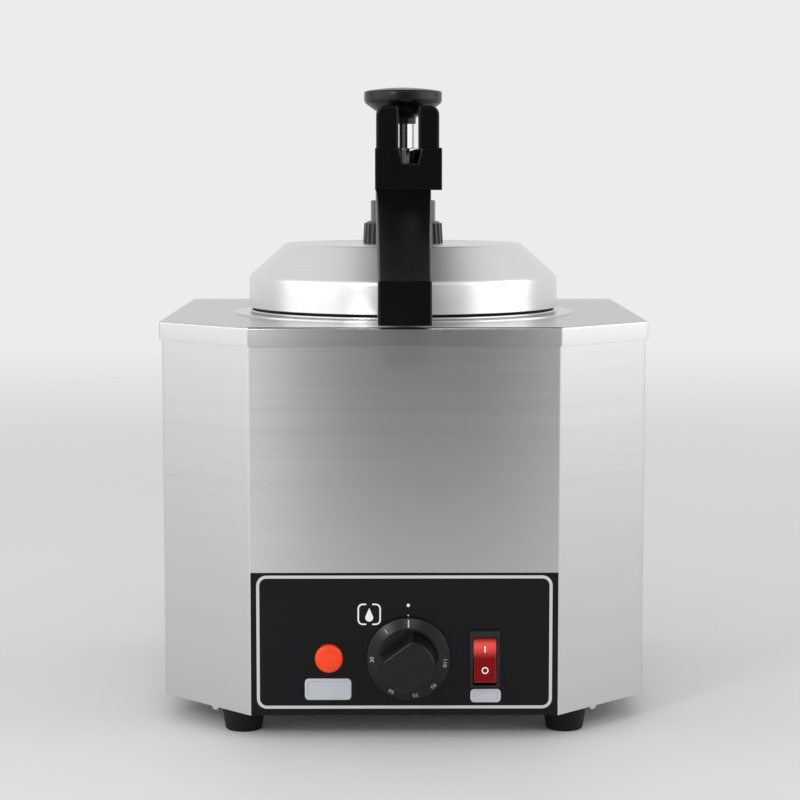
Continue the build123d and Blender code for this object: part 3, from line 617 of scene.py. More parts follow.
# %% Moulded plastic and rubber
def moulded(name, colour, roughness, grain=1600.0, depth=4e-6, coat=0.0, lift=1.35, shine=0.5):
    _, tree, shader = start_material(name)
    place = add(tree, "ShaderNodeTexCoord").outputs["Object"]
    marks = use_group(tree, moulding_grain, place, Grain=grain)
    height, rub = marks.outputs["Height"], marks.outputs["Rub"]
    light = [min(1.0, c * lift) for c in colour]
    tree.links.new(tone(tree, rub, colour, light), shader.inputs["Base Color"])
    rough = maths(
        tree, "ADD", span(tree, rub, roughness * 0.85, roughness * 1.15),
        span(tree, height, -0.02, 0.02),
    )
    tree.links.new(rough, shader.inputs["Roughness"])
    shader.inputs["Specular IOR Level"].default_value = shine
    shader.inputs["Coat Weight"].default_value = coat
    shader.inputs["Coat Roughness"].default_value = 0.06
    raise_bump(tree, shader, height, depth)


moulded("black_gloss", (0.0012, 0.0012, 0.0013), 0.30, depth=1.5e-6, shine=0.18)
moulded("black_knob", (0.003, 0.003, 0.003), 0.28, depth=3e-6, shine=0.34)
moulded("black_moulding", (0.009, 0.009, 0.010), 0.40, shine=0.35)
moulded("grey_nylon", (0.016, 0.016, 0.016), 0.34)
moulded("black_rubber", (0.005, 0.005, 0.005), 0.62, grain=1400.0, depth=1.2e-5, shine=0.2)
moulded("white_moulding", (0.72, 0.72, 0.68), 0.45, lift=1.08)
moulded("orange_lens", (0.86, 0.050, 0.003), 0.22, depth=2e-6, coat=0.3, lift=1.05, shine=0.3)
moulded("red_rocker", (0.17, 0.0010, 0.0025), 0.16, depth=1e-6, coat=0.25, lift=1.2, shine=0.25)
moulded("grey_plate", (0.44, 0.46, 0.49), 0.30, lift=1.12)
moulded("silver_print", (0.52, 0.52, 0.53), 0.45, lift=1.08)
moulded("white_print", (0.80, 0.80, 0.80), 0.50, lift=1.05)
moulded("dial_print", (0.42, 0.42, 0.42), 0.50, lift=1.1)
moulded("mineral_wool", (0.58, 0.52, 0.33), 0.95, grain=420.0, depth=6e-4, lift=1.5)
print("finishes so far:", len(finishes))

# %% [markdown]
# The bright band high on the rocker is a painted highlight. It may as well be a reflection. A soft patch of the
# rocker's own emitted light, on its pressed upper half, stands in for the reflection of a lamp above the front.

# %% Paint a highlight on the rocker
highlight_foot, highlight_full, highlight_fade, highlight_end = 0.0405, 0.0475, 0.0480, 0.0515
highlight_strength = 0.62


def paint_rocker_highlight():
    tree = finishes["red_rocker"].node_tree
    shader = tree.nodes["Principled BSDF"]
    place = add(tree, "ShaderNodeTexCoord").outputs["Object"]
    height = add(tree, "ShaderNodeSeparateXYZ", {0: place}).outputs[2]
    rise = eased(tree, height, highlight_foot, highlight_full)
    fall = eased(tree, height, highlight_end, highlight_fade)
    painted_highlight = maths(tree, "MULTIPLY", maths(tree, "MULTIPLY", rise, fall), highlight_strength)
    # Painted highlight: emission in a soft band high on the rocker, in place of a reflected lamp.
    tree.links.new(painted_highlight, shader.inputs["Emission Strength"])
    shader.inputs["Emission Color"].default_value = (1.0, 0.13, 0.10, 1)


paint_rocker_highlight()
print("rocker highlighted")

# %% [markdown]
# The control panel is painted sheet. Its paint has a faint orange-peel, and its black is
# painted slightly blue, in place of the cool light from above; broad soft patches move it
# between two such tones.

# %% Painted panel
def painted_panel():
    _, tree, shader = start_material("black_panel")
    place = add(tree, "ShaderNodeTexCoord").outputs["Object"]
    peel = noise(tree, place, 900.0, 2.0, 0.5)
    broad = noise(tree, place, 16.0, 3.0, 0.55)
    # Both tones carry a slight blue, painted into the colour as a stand-in for the light from above.
    tree.links.new(
        tone(tree, broad, (0.0030, 0.0033, 0.0042), (0.0060, 0.0064, 0.0080)),
        shader.inputs["Base Color"],
    )
    tree.links.new(span(tree, broad, 0.30, 0.40), shader.inputs["Roughness"])
    shader.inputs["Specular IOR Level"].default_value = 0.18
    raise_bump(tree, shader, peel, 6e-6)


painted_panel()
print("finishes:", len(finishes))

# %% [markdown]
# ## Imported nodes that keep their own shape
#
# Anything flat-sided or hidden in the housing is right as it comes. It only needs its
# finish, which goes into the material slots and leaves the mesh alone.

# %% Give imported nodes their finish
slot_of_node = {part["node"]: part["material_slot"] for part in frame["record"]["subparts"]}
for node_name, node in nodes.items():
    node.data.materials.clear()
    node.data.materials.append(finishes[slot_of_node[node_name]])
print("finished nodes:", len(nodes))

# %% [markdown]
# ## The deck
#
# The deck is one pressing: a flat top, a turned-down rim all round and a round hole for the
# well. Both front corners are cut off at 45 degrees. The rim is rolled over before the hole
# is cut, because bevelling works best on one whole face.

# %% Press the deck
corner_cut = 47.5 * mm
fold_radius = 2.0 * mm
rim_roll = 1.1 * mm
deck_hole = 82.3 * mm
sheet_edge = 0.15 * mm


def housing_corners(inset, z, radius):
    """The housing's six corners seen from above, moved inwards."""
    half_x = deck_high.x - inset
    front, rear = deck_low.y + inset, deck_high.y - inset
    cut = corner_cut - inset * (2 - math.sqrt(2))
    wide = radius * math.tan(math.radians(22.5))
    return [
        (-half_x, rear, z, radius), (-half_x, front + cut, z, wide), (cut - half_x, front, z, wide),
        (half_x - cut, front, z, wide), (half_x, front + cut, z, wide), (half_x, rear, z, radius),
    ]


def make_deck():
    bm = bmesh.new()
    outline(bm, housing_corners(0, deck_z, fold_radius), steps=6)
    push(bm, face_of(bm), (0, 0, deck_low.z - deck_z))
    round_edges(bm, edges_at(bm, lambda p: p.z > deck_z - hair, 60), rim_roll, 4)
    caps = [f for f in bm.faces if abs(f.normal.z) > 0.99 and f.calc_area() > 0.01]
    bmesh.ops.delete(bm, geom=caps, context="FACES_ONLY")
    top = [e for e in bm.edges if len(e.link_faces) == 1 and e.verts[0].co.z > deck_z - hair]
    place = Matrix.Translation((0, axis_y, deck_z))
    fill(bm, top + round_hole(bm, deck_hole, 96, place))
    face_outwards(bm)
    if max(bm.faces, key=lambda f: f.calc_area()).normal.z < 0:
        bmesh.ops.reverse_faces(bm, faces=bm.faces[:])
    bmesh.ops.solidify(bm, geom=bm.faces[:], thickness=sheet)
    finish_piece(bm, "deck", "housing", "brushed_deck", ["top_plate"], edge=sheet_edge)


make_deck()

# %% [markdown]
# ## The wrapped sides
#
# One strip of sheet is folded round the housing. It is an outline pulled straight up, with
# a window cut in front for the control panel and a larger one behind for the rear cover.
# The cuts are made while the strip has no thickness, so that each is a plain split of two
# faces, and the thickness comes last.

# %% Fold the sides
wrap_inset = deck_high.x - wrap_high.x
window_half = panel_high.x + 0.2 * mm
window_top = panel_high.z + 0.2 * mm
rear_margin = 15.0 * mm


def cut_window(bm, y, half, low, high):
    """Split the wall at that depth along a rectangle and take out the middle."""
    for place, normal in (
        ((-half, 0, 0), (1, 0, 0)), ((half, 0, 0), (1, 0, 0)), ((0, 0, low), (0, 0, 1)),
        ((0, 0, high), (0, 0, 1)),
    ):
        wall = [f for f in bm.faces if abs(f.calc_center_median().y - y) < 1e-5]
        geom = wall + [e for f in wall for e in f.edges] + [v for f in wall for v in f.verts]
        bmesh.ops.bisect_plane(bm, geom=list(set(geom)), dist=1e-7, plane_co=place, plane_no=normal)
    inside = [
        f for f in bm.faces
        if abs(f.calc_center_median().y - y) < 1e-5 and abs(f.calc_center_median().x) < half
        and low < f.calc_center_median().z < high
    ]
    bmesh.ops.delete(bm, geom=inside, context="FACES")


def make_wrap():
    bm = bmesh.new()
    outline(bm, housing_corners(wrap_inset, wrap_low.z, fold_radius), steps=6)
    made = bmesh.ops.extrude_edge_only(bm, edges=bm.edges[:])["geom"]
    top = verts_in(made)
    move(bm, top, (0, 0, wrap_high.z - wrap_low.z))
    cut_window(bm, wrap_low.y, window_half, wrap_low.z - sheet, window_top)
    rear_half = wrap_high.x - rear_margin
    rear_top = deck_low.z + sheet - rear_margin
    cut_window(bm, wrap_high.y, rear_half, wrap_low.z + rear_margin, rear_top)
    face_outwards(bm)
    left = min(bm.faces, key=lambda f: f.calc_center_median().x)
    if left.normal.x > 0:
        bmesh.ops.reverse_faces(bm, faces=bm.faces[:])
    bmesh.ops.solidify(bm, geom=bm.faces[:], thickness=sheet)
    finish_piece(bm, "folded_sides", "housing", "brushed_body", ["body_wrap"], edge=sheet_edge)


make_wrap()

# %% [markdown]
# ## The rear cover and its vents
#
# The back is a flat cover with two columns of rounded slots, held by six screws. Filling an
# outline that has smaller outlines inside it leaves those open, so the slots need no
# cutting.

# %% Cut the rear cover
rear_low, rear_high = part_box("rear_panel")
vent_length, vent_height, vent_pitch = 62.0 * mm, 4.0 * mm, 12.0 * mm
vent_lowest, vent_column = 96.0 * mm, 43.0 * mm
vent_rows = 5
gland_hole, gland_x, gland_z = 7.0 * mm, 62.0 * mm, 34.0 * mm


def make_rear_cover():
    bm = bmesh.new()
    loops = [rectangle(rear_low.x, rear_high.x, rear_low.z, rear_high.z, 4.0 * mm)]
    for side in (-1, 1):
        for row in range(vent_rows):
            x, z = side * vent_column, vent_lowest + row * vent_pitch
            half_w, half_h = vent_length / 2, vent_height / 2
            loops.append(rectangle(x - half_w, x + half_w, z - half_h, z + half_h, half_h * 0.999))
    loops.append((gland_hole, gland_x, gland_z))
    plate(bm, loops, rear_high.y - rear_low.y)
    move(bm, bm.verts[:], (0, rear_low.y, 0))
    finish_piece(bm, "rear_cover", "housing", "brushed_body", ["rear_panel"], flat=True)


make_rear_cover()

# %% [markdown]
# ## Screws
#
# A screw head is small, but a plain disc gives a model away. Each head is a low dome with a
# cross-shaped recess. The recess is an outline left open in the head's flat top and then
# pushed down, and narrowed a little as the driver's tip is.

# %% Turn the screw heads
def cross_points(arm, half):
    """The twelve corners of a cross, in order round its middle."""
    corners = []
    for c, s in ((1, 0), (0, 1), (-1, 0), (0, -1)):
        for u, v in ((half, half), (arm, half), (arm, -half)):
            corners.append((u * c - v * s, u * s + v * c, 0))
    return sorted(corners, key=lambda p: math.atan2(p[1], p[0]))


def screw(bm, radius, height, length, place):
    """One pan head standing on XY and growing towards +Z, with its shank below."""
    shank, head = bmesh.new(), bmesh.new()
    shank_radius = radius * 0.42
    bmesh.ops.create_cone(
        shank, cap_ends=True, segments=16, radius1=shank_radius, radius2=shank_radius,
        depth=length, matrix=Matrix.Translation((0, 0, height * 0.3 - length / 2)),
    )
    join(bm, shank, place)
    flat_radius = radius * 0.62
    outline(head, cross_points(radius * 0.46, radius * 0.1))
    cross = head.edges[:]
    fill(head, cross + round_hole(head, flat_radius, 32, Matrix.Identity(4)))
    made = bmesh.ops.extrude_edge_only(head, edges=[e for e in cross if e.is_valid])["geom"]
    bottom = verts_in(made)
    move(head, bottom, (0, 0, -height * 0.55))
    bmesh.ops.scale(head, verts=bottom, vec=(0.72, 0.72, 1))
    edges = [g for g in made if isinstance(g, bmesh.types.BMEdge)]
    floor = [e for e in edges if all(v in bottom for v in e.verts)]
    bmesh.ops.contextual_create(head, geom=floor)
    level = 0.0
    for share, drop in ((0.84, 0.12), (0.96, 0.38), (1.0, 1.0)):
        rim = [e for e in head.edges if len(e.link_faces) == 1]
        verts = verts_in(bmesh.ops.extrude_edge_only(head, edges=rim)["geom"])
        factor = share * radius / flat_radius
        bmesh.ops.scale(head, verts=verts, vec=(factor, factor, 1))
        move(head, verts, (0, 0, -height * (drop - level)))
        flat_radius, level = share * radius, drop
    join(bm, head, place @ Matrix.Translation((0, 0, height)))


def box_centres(name, count):
    """The boxes of a node's separate solids, found by grouping its vertices."""
    mesh = nodes[name].data
    bm = bmesh.new()
    bm.from_mesh(mesh)
    bmesh.ops.remove_doubles(bm, verts=bm.verts[:], dist=1e-5)
    left, middles = set(bm.verts), []
    while left:
        island, front = set(), {left.pop()}
        while front:
            island |= front
            front = {e.other_vert(v) for v in front for e in v.link_edges} - island
        left -= island
        low = Vector(min(v.co[i] for v in island) for i in range(3))
        high = Vector(max(v.co[i] for v in island) for i in range(3))
        middles.append((low, high))
    bm.free()
    assert len(middles) == count, (name, len(middles))
    return sorted(middles, key=lambda m: tuple(m[0]))


def make_rear_screws():
    bm = bmesh.new()
    for low, high in box_centres("rear_screws", 6):
        face = rear_high.y
        place = Matrix.Translation(((low.x + high.x) / 2, face, (low.z + high.z) / 2))
        turned = place @ Matrix.Rotation(math.radians(-90), 4, "X")
        screw(bm, (high.x - low.x) / 2, high.y - face, face - low.y, turned)
    finish_piece(bm, "cover_screws", "housing", "bright_screws", ["rear_screws"])


def make_base_screws():
    bm = bmesh.new()
    for low, high in box_centres("base_screws", 4):
        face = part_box("base_plate")[0].z
        place = Matrix.Translation(((low.x + high.x) / 2, (low.y + high.y) / 2, face))
        turned = place @ Matrix.Rotation(math.pi, 4, "X")
        screw(bm, (high.x - low.x) / 2, face - low.z, high.z - face, turned)
    finish_piece(bm, "tray_screws", "housing", "bright_screws", ["base_screws"])


make_rear_screws()
make_base_screws()

# %% [markdown]
# ## The feet
#
# Four tapered rubber feet, each with a recess underneath for its screw. One outline is spun
# four times. Its corners have small set-backs, because rubber never moulds sharp.

# %% Mould the feet
foot_bottom_radius = 9.2 * mm
foot_hole, foot_recess, foot_recess_depth = 2.0 * mm, 4.5 * mm, 5.0 * mm


def make_feet():
    bm = bmesh.new()
    for low, high in box_centres("rubber_feet", 4):
        x, y = (low.x + high.x) / 2, (low.y + high.y) / 2
        wide = (high.x - low.x) / 2
        top = high.z
        spun(bm, [
            (foot_recess, 0, 0.4 * mm), (foot_bottom_radius, 0, 1.2 * mm),
            (wide, top, 0.5 * mm), (foot_hole, top), (foot_hole, foot_recess_depth),
            (foot_recess, foot_recess_depth),
        ], x=x, y=y, steps=48)
    finish_piece(bm, "moulded_feet", "housing", "black_rubber", ["rubber_feet"])


make_feet()

# %% [markdown]
# ## The control panel
#
# A painted plate fills the window in front. It has holes behind the lamp, the knob and the
# switch, and a return along its top edge.

# %% Cut the control panel
lamp_low, lamp_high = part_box("indicator_lens")
knob_low, knob_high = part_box("thermostat_knob")
bezel_low, bezel_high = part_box("rocker_bezel")
lamp_x, lamp_z = (lamp_low.x + lamp_high.x) / 2, (lamp_low.z + lamp_high.z) / 2
knob_x, knob_z = (knob_low.x + knob_high.x) / 2, (knob_low.z + knob_high.z) / 2
switch_x, switch_z = (bezel_low.x + bezel_high.x) / 2, (bezel_low.z + bezel_high.z) / 2


lamp_hole, knob_hole = 6.2 * mm, 4.8 * mm
switch_half_w, switch_half_h = 6.5 * mm, 13 * mm


def switch_hole():
    """The outline of the switch's body."""
    return rectangle(
        switch_x - switch_half_w, switch_x + switch_half_w,
        switch_z - switch_half_h, switch_z + switch_half_h,
    )


def make_panel():
    bm = bmesh.new()
    plate(bm, [
        rectangle(panel_low.x, panel_high.x, panel_low.z, panel_high.z, 0.4 * mm),
        (lamp_hole, lamp_x, lamp_z), (knob_hole, knob_x, knob_z), switch_hole(),
    ], sheet)
    move(bm, bm.verts[:], (0, face_y, 0))
    low = (panel_low.x + sheet, face_y + sheet, panel_high.z - sheet)
    block(bm, low, (panel_high.x - sheet, panel_high.y, panel_high.z), 0.2 * mm)
    finish_piece(
        bm, "painted_panel", "housing", "black_panel", ["control_panel"], edge=0.2 * mm,
    )


make_panel()

# %% [markdown]
# ## Printed lines
#
# The panel's frame, its pointer dot and its pictogram are ink, a twentieth of a millimetre
# thick. Each is an outline with another inside it, filled between the two. The pictogram is
# a plain drop between two brackets, the usual sign for a heated bath.

# %% Print the panel
ink, ink_gap = 0.05 * mm, 0.01 * mm
border_half = 73.5 * mm
border_low, border_high = 15.5 * mm, 82.7 * mm
border_width, border_corner = 1.5 * mm, 5.0 * mm
dot_x = knob_x - 0.1 * mm


def printed(name, outlines, finish):
    """Ink filled between outlines, lying on the panel's face."""
    bm = bmesh.new()
    for loops in outlines:
        plate(bm, loops, ink)
    move(bm, bm.verts[:], (0, face_y - ink - ink_gap, 0))
    finish_piece(bm, name, "housing", "grey_plate", finish=finish, flat=True)


printed("panel_border", [[
    rectangle(-border_half, border_half, border_low, border_high, border_corner),
    rectangle(
        -border_half + border_width, border_half - border_width, border_low + border_width,
        border_high - border_width, border_corner - border_width,
    ),
]], "silver_print")
printed("pointer_dots", [
    [(0.8 * mm, dot_x, knob_z + 26.7 * mm, 24)], [(0.35 * mm, dot_x, knob_z + 21.6 * mm, 16)],
], "white_print")

# %% The heated bath sign
icon_x, icon_z = -17.5 * mm, 63.2 * mm
bracket_half_w, bracket_half_h = 5.8 * mm, 5.4 * mm
bracket_line, bracket_gap = 0.75 * mm, 1.5 * mm
drop_radius, drop_tip, drop_steps = 1.95 * mm, 4.9 * mm, 28


def bracket(side):
    """One square bracket with rounded corners."""
    outer = icon_x + side * bracket_half_w
    inner = icon_x + side * (bracket_half_w - bracket_line)
    start = icon_x + side * bracket_gap
    top, bottom = icon_z + bracket_half_h, icon_z - bracket_half_h
    corner, small = 2.6 * mm, 1.9 * mm
    return [
        (start, 0, top), (outer, 0, top, corner), (outer, 0, bottom, corner),
        (start, 0, bottom), (start, 0, bottom + bracket_line),
        (inner, 0, bottom + bracket_line, small), (inner, 0, top - bracket_line, small),
        (start, 0, top - bracket_line),
    ]


def drop():
    """Most of a circle, closed by two straight sides that meet in a tip."""
    base = icon_z - 1.7 * mm
    touch = math.acos(drop_radius / drop_tip)
    points = [(icon_x, 0, base + drop_tip)]
    for step in range(drop_steps + 1):
        turn = touch + (math.tau - 2 * touch) * step / drop_steps
        x, z = drop_radius * math.sin(turn), drop_radius * math.cos(turn)
        points.append((icon_x + x, 0, base + z))
    return points


printed("heated_bath_sign", [[bracket(-1)], [bracket(1)], [drop()]], "white_print")

# %% [markdown]
# ## The two bare plates
#
# Under the lamp and the switch sit small satin plates with cut corners. Each has a shallow
# sunk field, made by insetting its front face and pushing it back.

# %% Stamp the plates
def make_plate(name, node_name):
    low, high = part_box(node_name)
    cut = 2.0 * mm
    bm = bmesh.new()
    outline(bm, rectangle(low.x, high.x, low.z, high.z, cut), steps=3)
    move(bm, bm.verts[:], (0, high.y, 0))
    push(bm, face_of(bm), (0, low.y - high.y, 0))
    round_edges(bm, edges_at(bm, lambda p: p.y < low.y + hair, 60), 0.3 * mm, 3)
    field = [f for f in bm.faces if f.normal.y < -0.99 or f.calc_center_median().y < low.y + 1e-7]
    field = max(field, key=lambda f: f.calc_area())
    bmesh.ops.inset_individual(bm, faces=[field], thickness=1.0 * mm, depth=0)
    bmesh.ops.inset_individual(bm, faces=[field], thickness=0.35 * mm, depth=-0.35 * mm)
    face_outwards(bm)
    finish_piece(bm, name, "housing", "grey_plate", [node_name])


make_plate("lamp_badge", "lamp_plate")
make_plate("switch_badge", "switch_plate")

# %% [markdown]
# ## Pieces that point to the front
#
# The lamp and the knob are turned pieces whose axis points at the viewer. They are spun
# upright at the origin and then laid forward.

# %% The lamp's lens
def laid_forward(x, z, y):
    """Turns +Z towards the front and moves a piece to its place."""
    return Matrix.Translation((x, y, z)) @ Matrix.Rotation(math.radians(90), 4, "X")


def make_lens():
    radius, height = (lamp_high.x - lamp_low.x) / 2, lamp_high.y - lamp_low.y
    bm, turned = bmesh.new(), bmesh.new()
    spun(turned, [
        (0, 0), (radius, 0), (radius, height * 0.82, 1.1 * mm),
        (radius * 0.55, height * 0.97, 1.0 * mm), (0, height),
    ], y=0.0, steps=64, closed=False)
    join(bm, turned, laid_forward(lamp_x, lamp_z, face_y))
    finish_piece(bm, "lamp_lens", "housing", "orange_lens", ["indicator_lens"])


make_lens()

# %% [markdown]
# ## The thermostat knob
#
# The knob is a skirt with a finger grip. The grip starts as a cone. Two slanting cuts leave
# flats for finger and thumb, and every edge is rolled so that it draws a thin bright line,
# as gloss mouldings do. The marks are ink on the skirt's slope.

# %% Mould the knob
skirt_radius = (knob_high.x - knob_low.x) / 2
skirt_edge, skirt_rise = 1.6 * mm, 2.4 * mm
grip_radius, grip_front_radius = 14.4 * mm, 12.6 * mm
grip_half, grip_draft = 10.6 * mm, 1.1 * mm
grip_step, shaft_hole = 0.8 * mm, 3.0 * mm
grip_turn = math.radians(36)
knob_back = knob_high.y
knob_depth = knob_high.y - knob_low.y


def make_knob():
    skirt_top = skirt_edge + skirt_rise
    grip_height = knob_depth - skirt_top
    bm, skirt, grip = bmesh.new(), bmesh.new(), bmesh.new()
    spun(skirt, [
        (shaft_hole, 0), (skirt_radius, 0, 0.3 * mm), (skirt_radius, skirt_edge, 0.6 * mm),
        (grip_radius + grip_step, skirt_top, 0.8 * mm), (shaft_hole, skirt_top),
    ], y=0.0, steps=96)
    join(bm, skirt, laid_forward(knob_x, knob_z, knob_back))
    place = Matrix.Translation((0, 0, skirt_top + grip_height / 2))
    bmesh.ops.create_cone(
        grip, cap_ends=True, segments=96, radius1=grip_radius, radius2=grip_front_radius,
        depth=grip_height, matrix=place,
    )
    lean = math.atan2(grip_draft, grip_height)
    for side in (-1, 1):
        across = Vector((-math.sin(grip_turn), math.cos(grip_turn), 0)) * side
        normal = (across * math.cos(lean) + Vector((0, 0, 1)) * math.sin(lean)).normalized()
        base = across * grip_half + Vector((0, 0, skirt_top))
        cut = bmesh.ops.bisect_plane(
            grip, geom=grip.verts[:] + grip.edges[:] + grip.faces[:], dist=1e-7, plane_co=base,
            plane_no=normal, clear_outer=True,
        )["geom_cut"]
        bmesh.ops.contextual_create(
            grip, geom=[g for g in cut if isinstance(g, bmesh.types.BMEdge)],
        )
    face_outwards(grip)
    round_edges(grip, edges_at(grip, lambda p: p.z > skirt_top + 0.1 * mm, 35), 0.8 * mm, 4)
    join(bm, grip, laid_forward(knob_x, knob_z, knob_back))
    finish_piece(
        bm, "moulded_knob", "thermostat_dial", "black_knob", ["thermostat_knob"], edge=0.1 * mm,
    )


make_knob()

# %% [markdown]
# The dial's figures are plain numbers. A text object gives their outlines. It is turned
# into a mesh at once, and the mesh is then laid on the slope of the skirt.

# %% Ink the dial
mark_radius = 18.1 * mm
slope = math.atan2(skirt_rise, skirt_radius - grip_radius - grip_step)


def dial_place(degrees):
    """A place on the skirt's slope, clockwise from the top, with +Y pointing outwards."""
    height = skirt_edge + (skirt_radius - mark_radius) * math.tan(slope) + 0.09 * mm
    around = Matrix.Rotation(-math.radians(degrees), 4, "Z")
    out = Matrix.Translation((0, mark_radius, height)) @ Matrix.Rotation(-slope, 4, "X")
    return laid_forward(knob_x, knob_z, knob_back) @ around @ out


def text_mesh(body, size):
    """A flat mesh of a number, centred on the origin."""
    curve = bpy.data.curves.new("figure", "FONT")
    curve.body = body
    curve.size = size
    curve.align_x = "CENTER"
    curve.align_y = "CENTER"
    curve.extrude = ink / 2
    holder = bpy.data.objects.new("figure", curve)
    scene.collection.objects.link(holder)
    bpy.context.view_layer.update()
    mesh = bpy.data.meshes.new_from_object(
        holder.evaluated_get(bpy.context.evaluated_depsgraph_get()),
    )
    bpy.data.objects.remove(holder)
    bpy.data.curves.remove(curve)
    return mesh


def make_dial_marks():
    bm = bmesh.new()
    for degrees, half_w, half_h in ((0, 0.35 * mm, 1.9 * mm), (-38, 0.2 * mm, 1.2 * mm)):
        high = (half_w, half_h, ink / 2)
        block(bm, [-v for v in high], high, place=dial_place(degrees))
    for degrees, figure in ((-90, "30"), (208, "50"), (169, "70"), (137, "90"), (95, "110")):
        mesh = text_mesh(figure, 3.0 * mm)
        mesh.transform(dial_place(degrees))
        bm.from_mesh(mesh)
        bpy.data.meshes.remove(mesh)
    finish_piece(
        bm, "dial_figures", "thermostat_dial", "grey_plate", finish="dial_print", flat=True,
    )


make_dial_marks()

# %% [markdown]
# ## The rocker switch
#
# The switch clips into the panel. Its frame is an outline with a window, pushed back, and
# the window's walls run on into the body. The rocker is one profile, dished in the middle,
# pushed sideways. It is modelled level and then tipped about its pivot to the ON side.

# %% Mould the switch frame
rocker_joint = next(j for j in frame["joints"] if j["name"] == "rocker_tilt")
pivot_y, pivot_z = rocker_joint["pos_m"][1], rocker_joint["pos_m"][2]
pocket_half_w, pocket_half_h = 5.85 * mm, 12.1 * mm
frame_depth, pocket_depth, body_depth = 1.8 * mm, 12.0 * mm, 20 * mm
pin_half_w, pin_half_h, pin_pitch = 2.4 * mm, 0.4 * mm, 6.5 * mm


def make_switch_frame():
    bm, body = bmesh.new(), bmesh.new()
    front, face = bezel_low.y, bezel_low.y + frame_depth
    window = rectangle(
        switch_x - pocket_half_w, switch_x + pocket_half_w,
        pivot_z - pocket_half_h, pivot_z + pocket_half_h,
    )
    rim = rectangle(bezel_low.x, bezel_high.x, bezel_low.z, bezel_high.z, 1.0 * mm)
    plate(bm, [rim, window], face - front)
    move(bm, bm.verts[:], (0, front, 0))
    plate(body, [switch_hole(), window], pocket_depth)
    join(bm, body, Matrix.Translation((0, face, 0)))
    back = face + body_depth
    low = (switch_x - switch_half_w, face + pocket_depth, switch_z - switch_half_h)
    block(bm, low, (switch_x + switch_half_w, back, switch_z + switch_half_h), 0.3 * mm)
    for z in (-pin_pitch, 0, pin_pitch):
        low = (switch_x - pin_half_w, back, switch_z + z - pin_half_h)
        high = (switch_x + pin_half_w, bezel_high.y, switch_z + z + pin_half_h)
        block(bm, low, high, 0.1 * mm)
    finish_piece(
        bm, "switch_frame", "housing", "black_moulding", ["rocker_bezel"], edge=0.35 * mm,
    )


make_switch_frame()

# %% Mould the rocker
rocker_tilt = math.radians(12)
rocker_half_w = 5.6 * mm
rocker_half_h, rocker_front, rocker_dip = 11.2 * mm, 5.0 * mm, 1.3 * mm


def tipped():
    """From a level rocker about the origin to its place in the switch."""
    return Matrix.Translation((switch_x, pivot_y, pivot_z)) @ Matrix.Rotation(-rocker_tilt, 4, "X")


def make_rocker():
    profile = bmesh.new()
    w, front, tall = -rocker_half_w, -rocker_front, rocker_half_h
    outline(profile, [
        (w, front, tall, 0.7 * mm), (w, front + rocker_dip, 0, 5.0 * mm),
        (w, front, -tall, 0.7 * mm),
        (w, 0, -tall, 0.5 * mm), (w, 3.0 * mm, -0.8 * tall), (w, 3.0 * mm, 0.8 * tall),
        (w, 0, tall, 0.5 * mm),
    ], steps=5)
    push(profile, face_of(profile), (2 * rocker_half_w, 0, 0))
    face_outwards(profile)
    round_edges(
        profile, edges_at(profile, lambda p: p.y < 0 and abs(abs(p.x) - rocker_half_w) < hair, 60),
        0.5 * mm, 3,
    )
    bm = bmesh.new()
    join(bm, profile, tipped())
    finish_piece(bm, "red_rocker", "rocker", "red_rocker", ["rocker_button"], edge=0.1 * mm)


make_rocker()


def make_rocker_marks():
    """The usual I and O, inked on the two halves."""
    bm = bmesh.new()
    lean = math.atan2(rocker_dip, rocker_half_h)
    for half, kind in ((1, "on"), (-1, "off")):
        z = half * 5.2 * mm
        y = -rocker_front + rocker_dip * (1 - abs(z) / rocker_half_h) - 0.03 * mm
        place = tipped() @ Matrix.Translation((0, y, z)) @ Matrix.Rotation(half * lean, 4, "X")
        mark = bmesh.new()
        if kind == "on":
            plate(mark, [rectangle(-0.35 * mm, 0.35 * mm, -1.5 * mm, 1.5 * mm)], -ink)
        else:
            plate(mark, [(1.7 * mm, 0, 0, 40), (1.15 * mm, 0, 0, 40)], -ink)
        join(bm, mark, place)
    finish_piece(bm, "rocker_marks", "rocker", "grey_plate", finish="white_print", flat=True)


make_rocker_marks()

# %% [markdown]
# ## The well and the jar
#
# Both are deep-drawn cups. Their outline is a closed loop, out along one side of the sheet
# and back along the other, with a round bend at the bottom and a flange or a lip at the
# top. Only the well's flange shows with the lid on, but both show when it is lifted.

# %% Draw the well and the jar
cup_steps = {"steps": 144, "closed": False, "corner_steps": 8}


def cup(radius, wall, low, high, bend, rim):
    """The outline of a cup: its outside, its rim and its inside, back to the middle."""
    floor = low + wall
    outside = [(0, floor - wall), (radius + wall, floor - wall, bend + wall)]
    return outside + rim + [(radius, high, 0.5 * mm), (radius, floor, bend), (0, floor)]


well_radius, well_wall, well_bend = 81.0 * mm, 0.8 * mm, 12.0 * mm
flange, under = well_high.x, deck_z + 0.0001 * mm
well_rim = [
    (well_radius + well_wall, under, 0.3 * mm), (flange, under),
    (flange, well_high.z, 0.35 * mm),
]
turned_piece(
    cup(well_radius, well_wall, well_low.z, well_high.z, well_bend, well_rim),
    "drawn_well", "housing", "drawn_steel", "water_well", **cup_steps,
)
jar_radius, jar_wall, jar_bend = 77.6 * mm, 0.9 * mm, 13.1 * mm
lip, under = jar_high.x, jar_high.z - 1.2 * mm
jar_rim = [
    (jar_radius + jar_wall, under, 0.4 * mm), (lip, under, 0.45 * mm),
    (lip, jar_high.z, 0.45 * mm),
]
turned_piece(
    cup(jar_radius, jar_wall, jar_low.z, jar_high.z, jar_bend, jar_rim),
    "drawn_jar", "jar", "drawn_steel", "inner_jar", **cup_steps,
)

# %% [markdown]
# ## The lid
#
# The lid is spun over a former from one disc: a straight skirt, a cone and a flat top with a
# hole for the pump. Metal that has been spun has soft bends, so both corners have real
# radii, and the edge at the bottom is turned slightly.

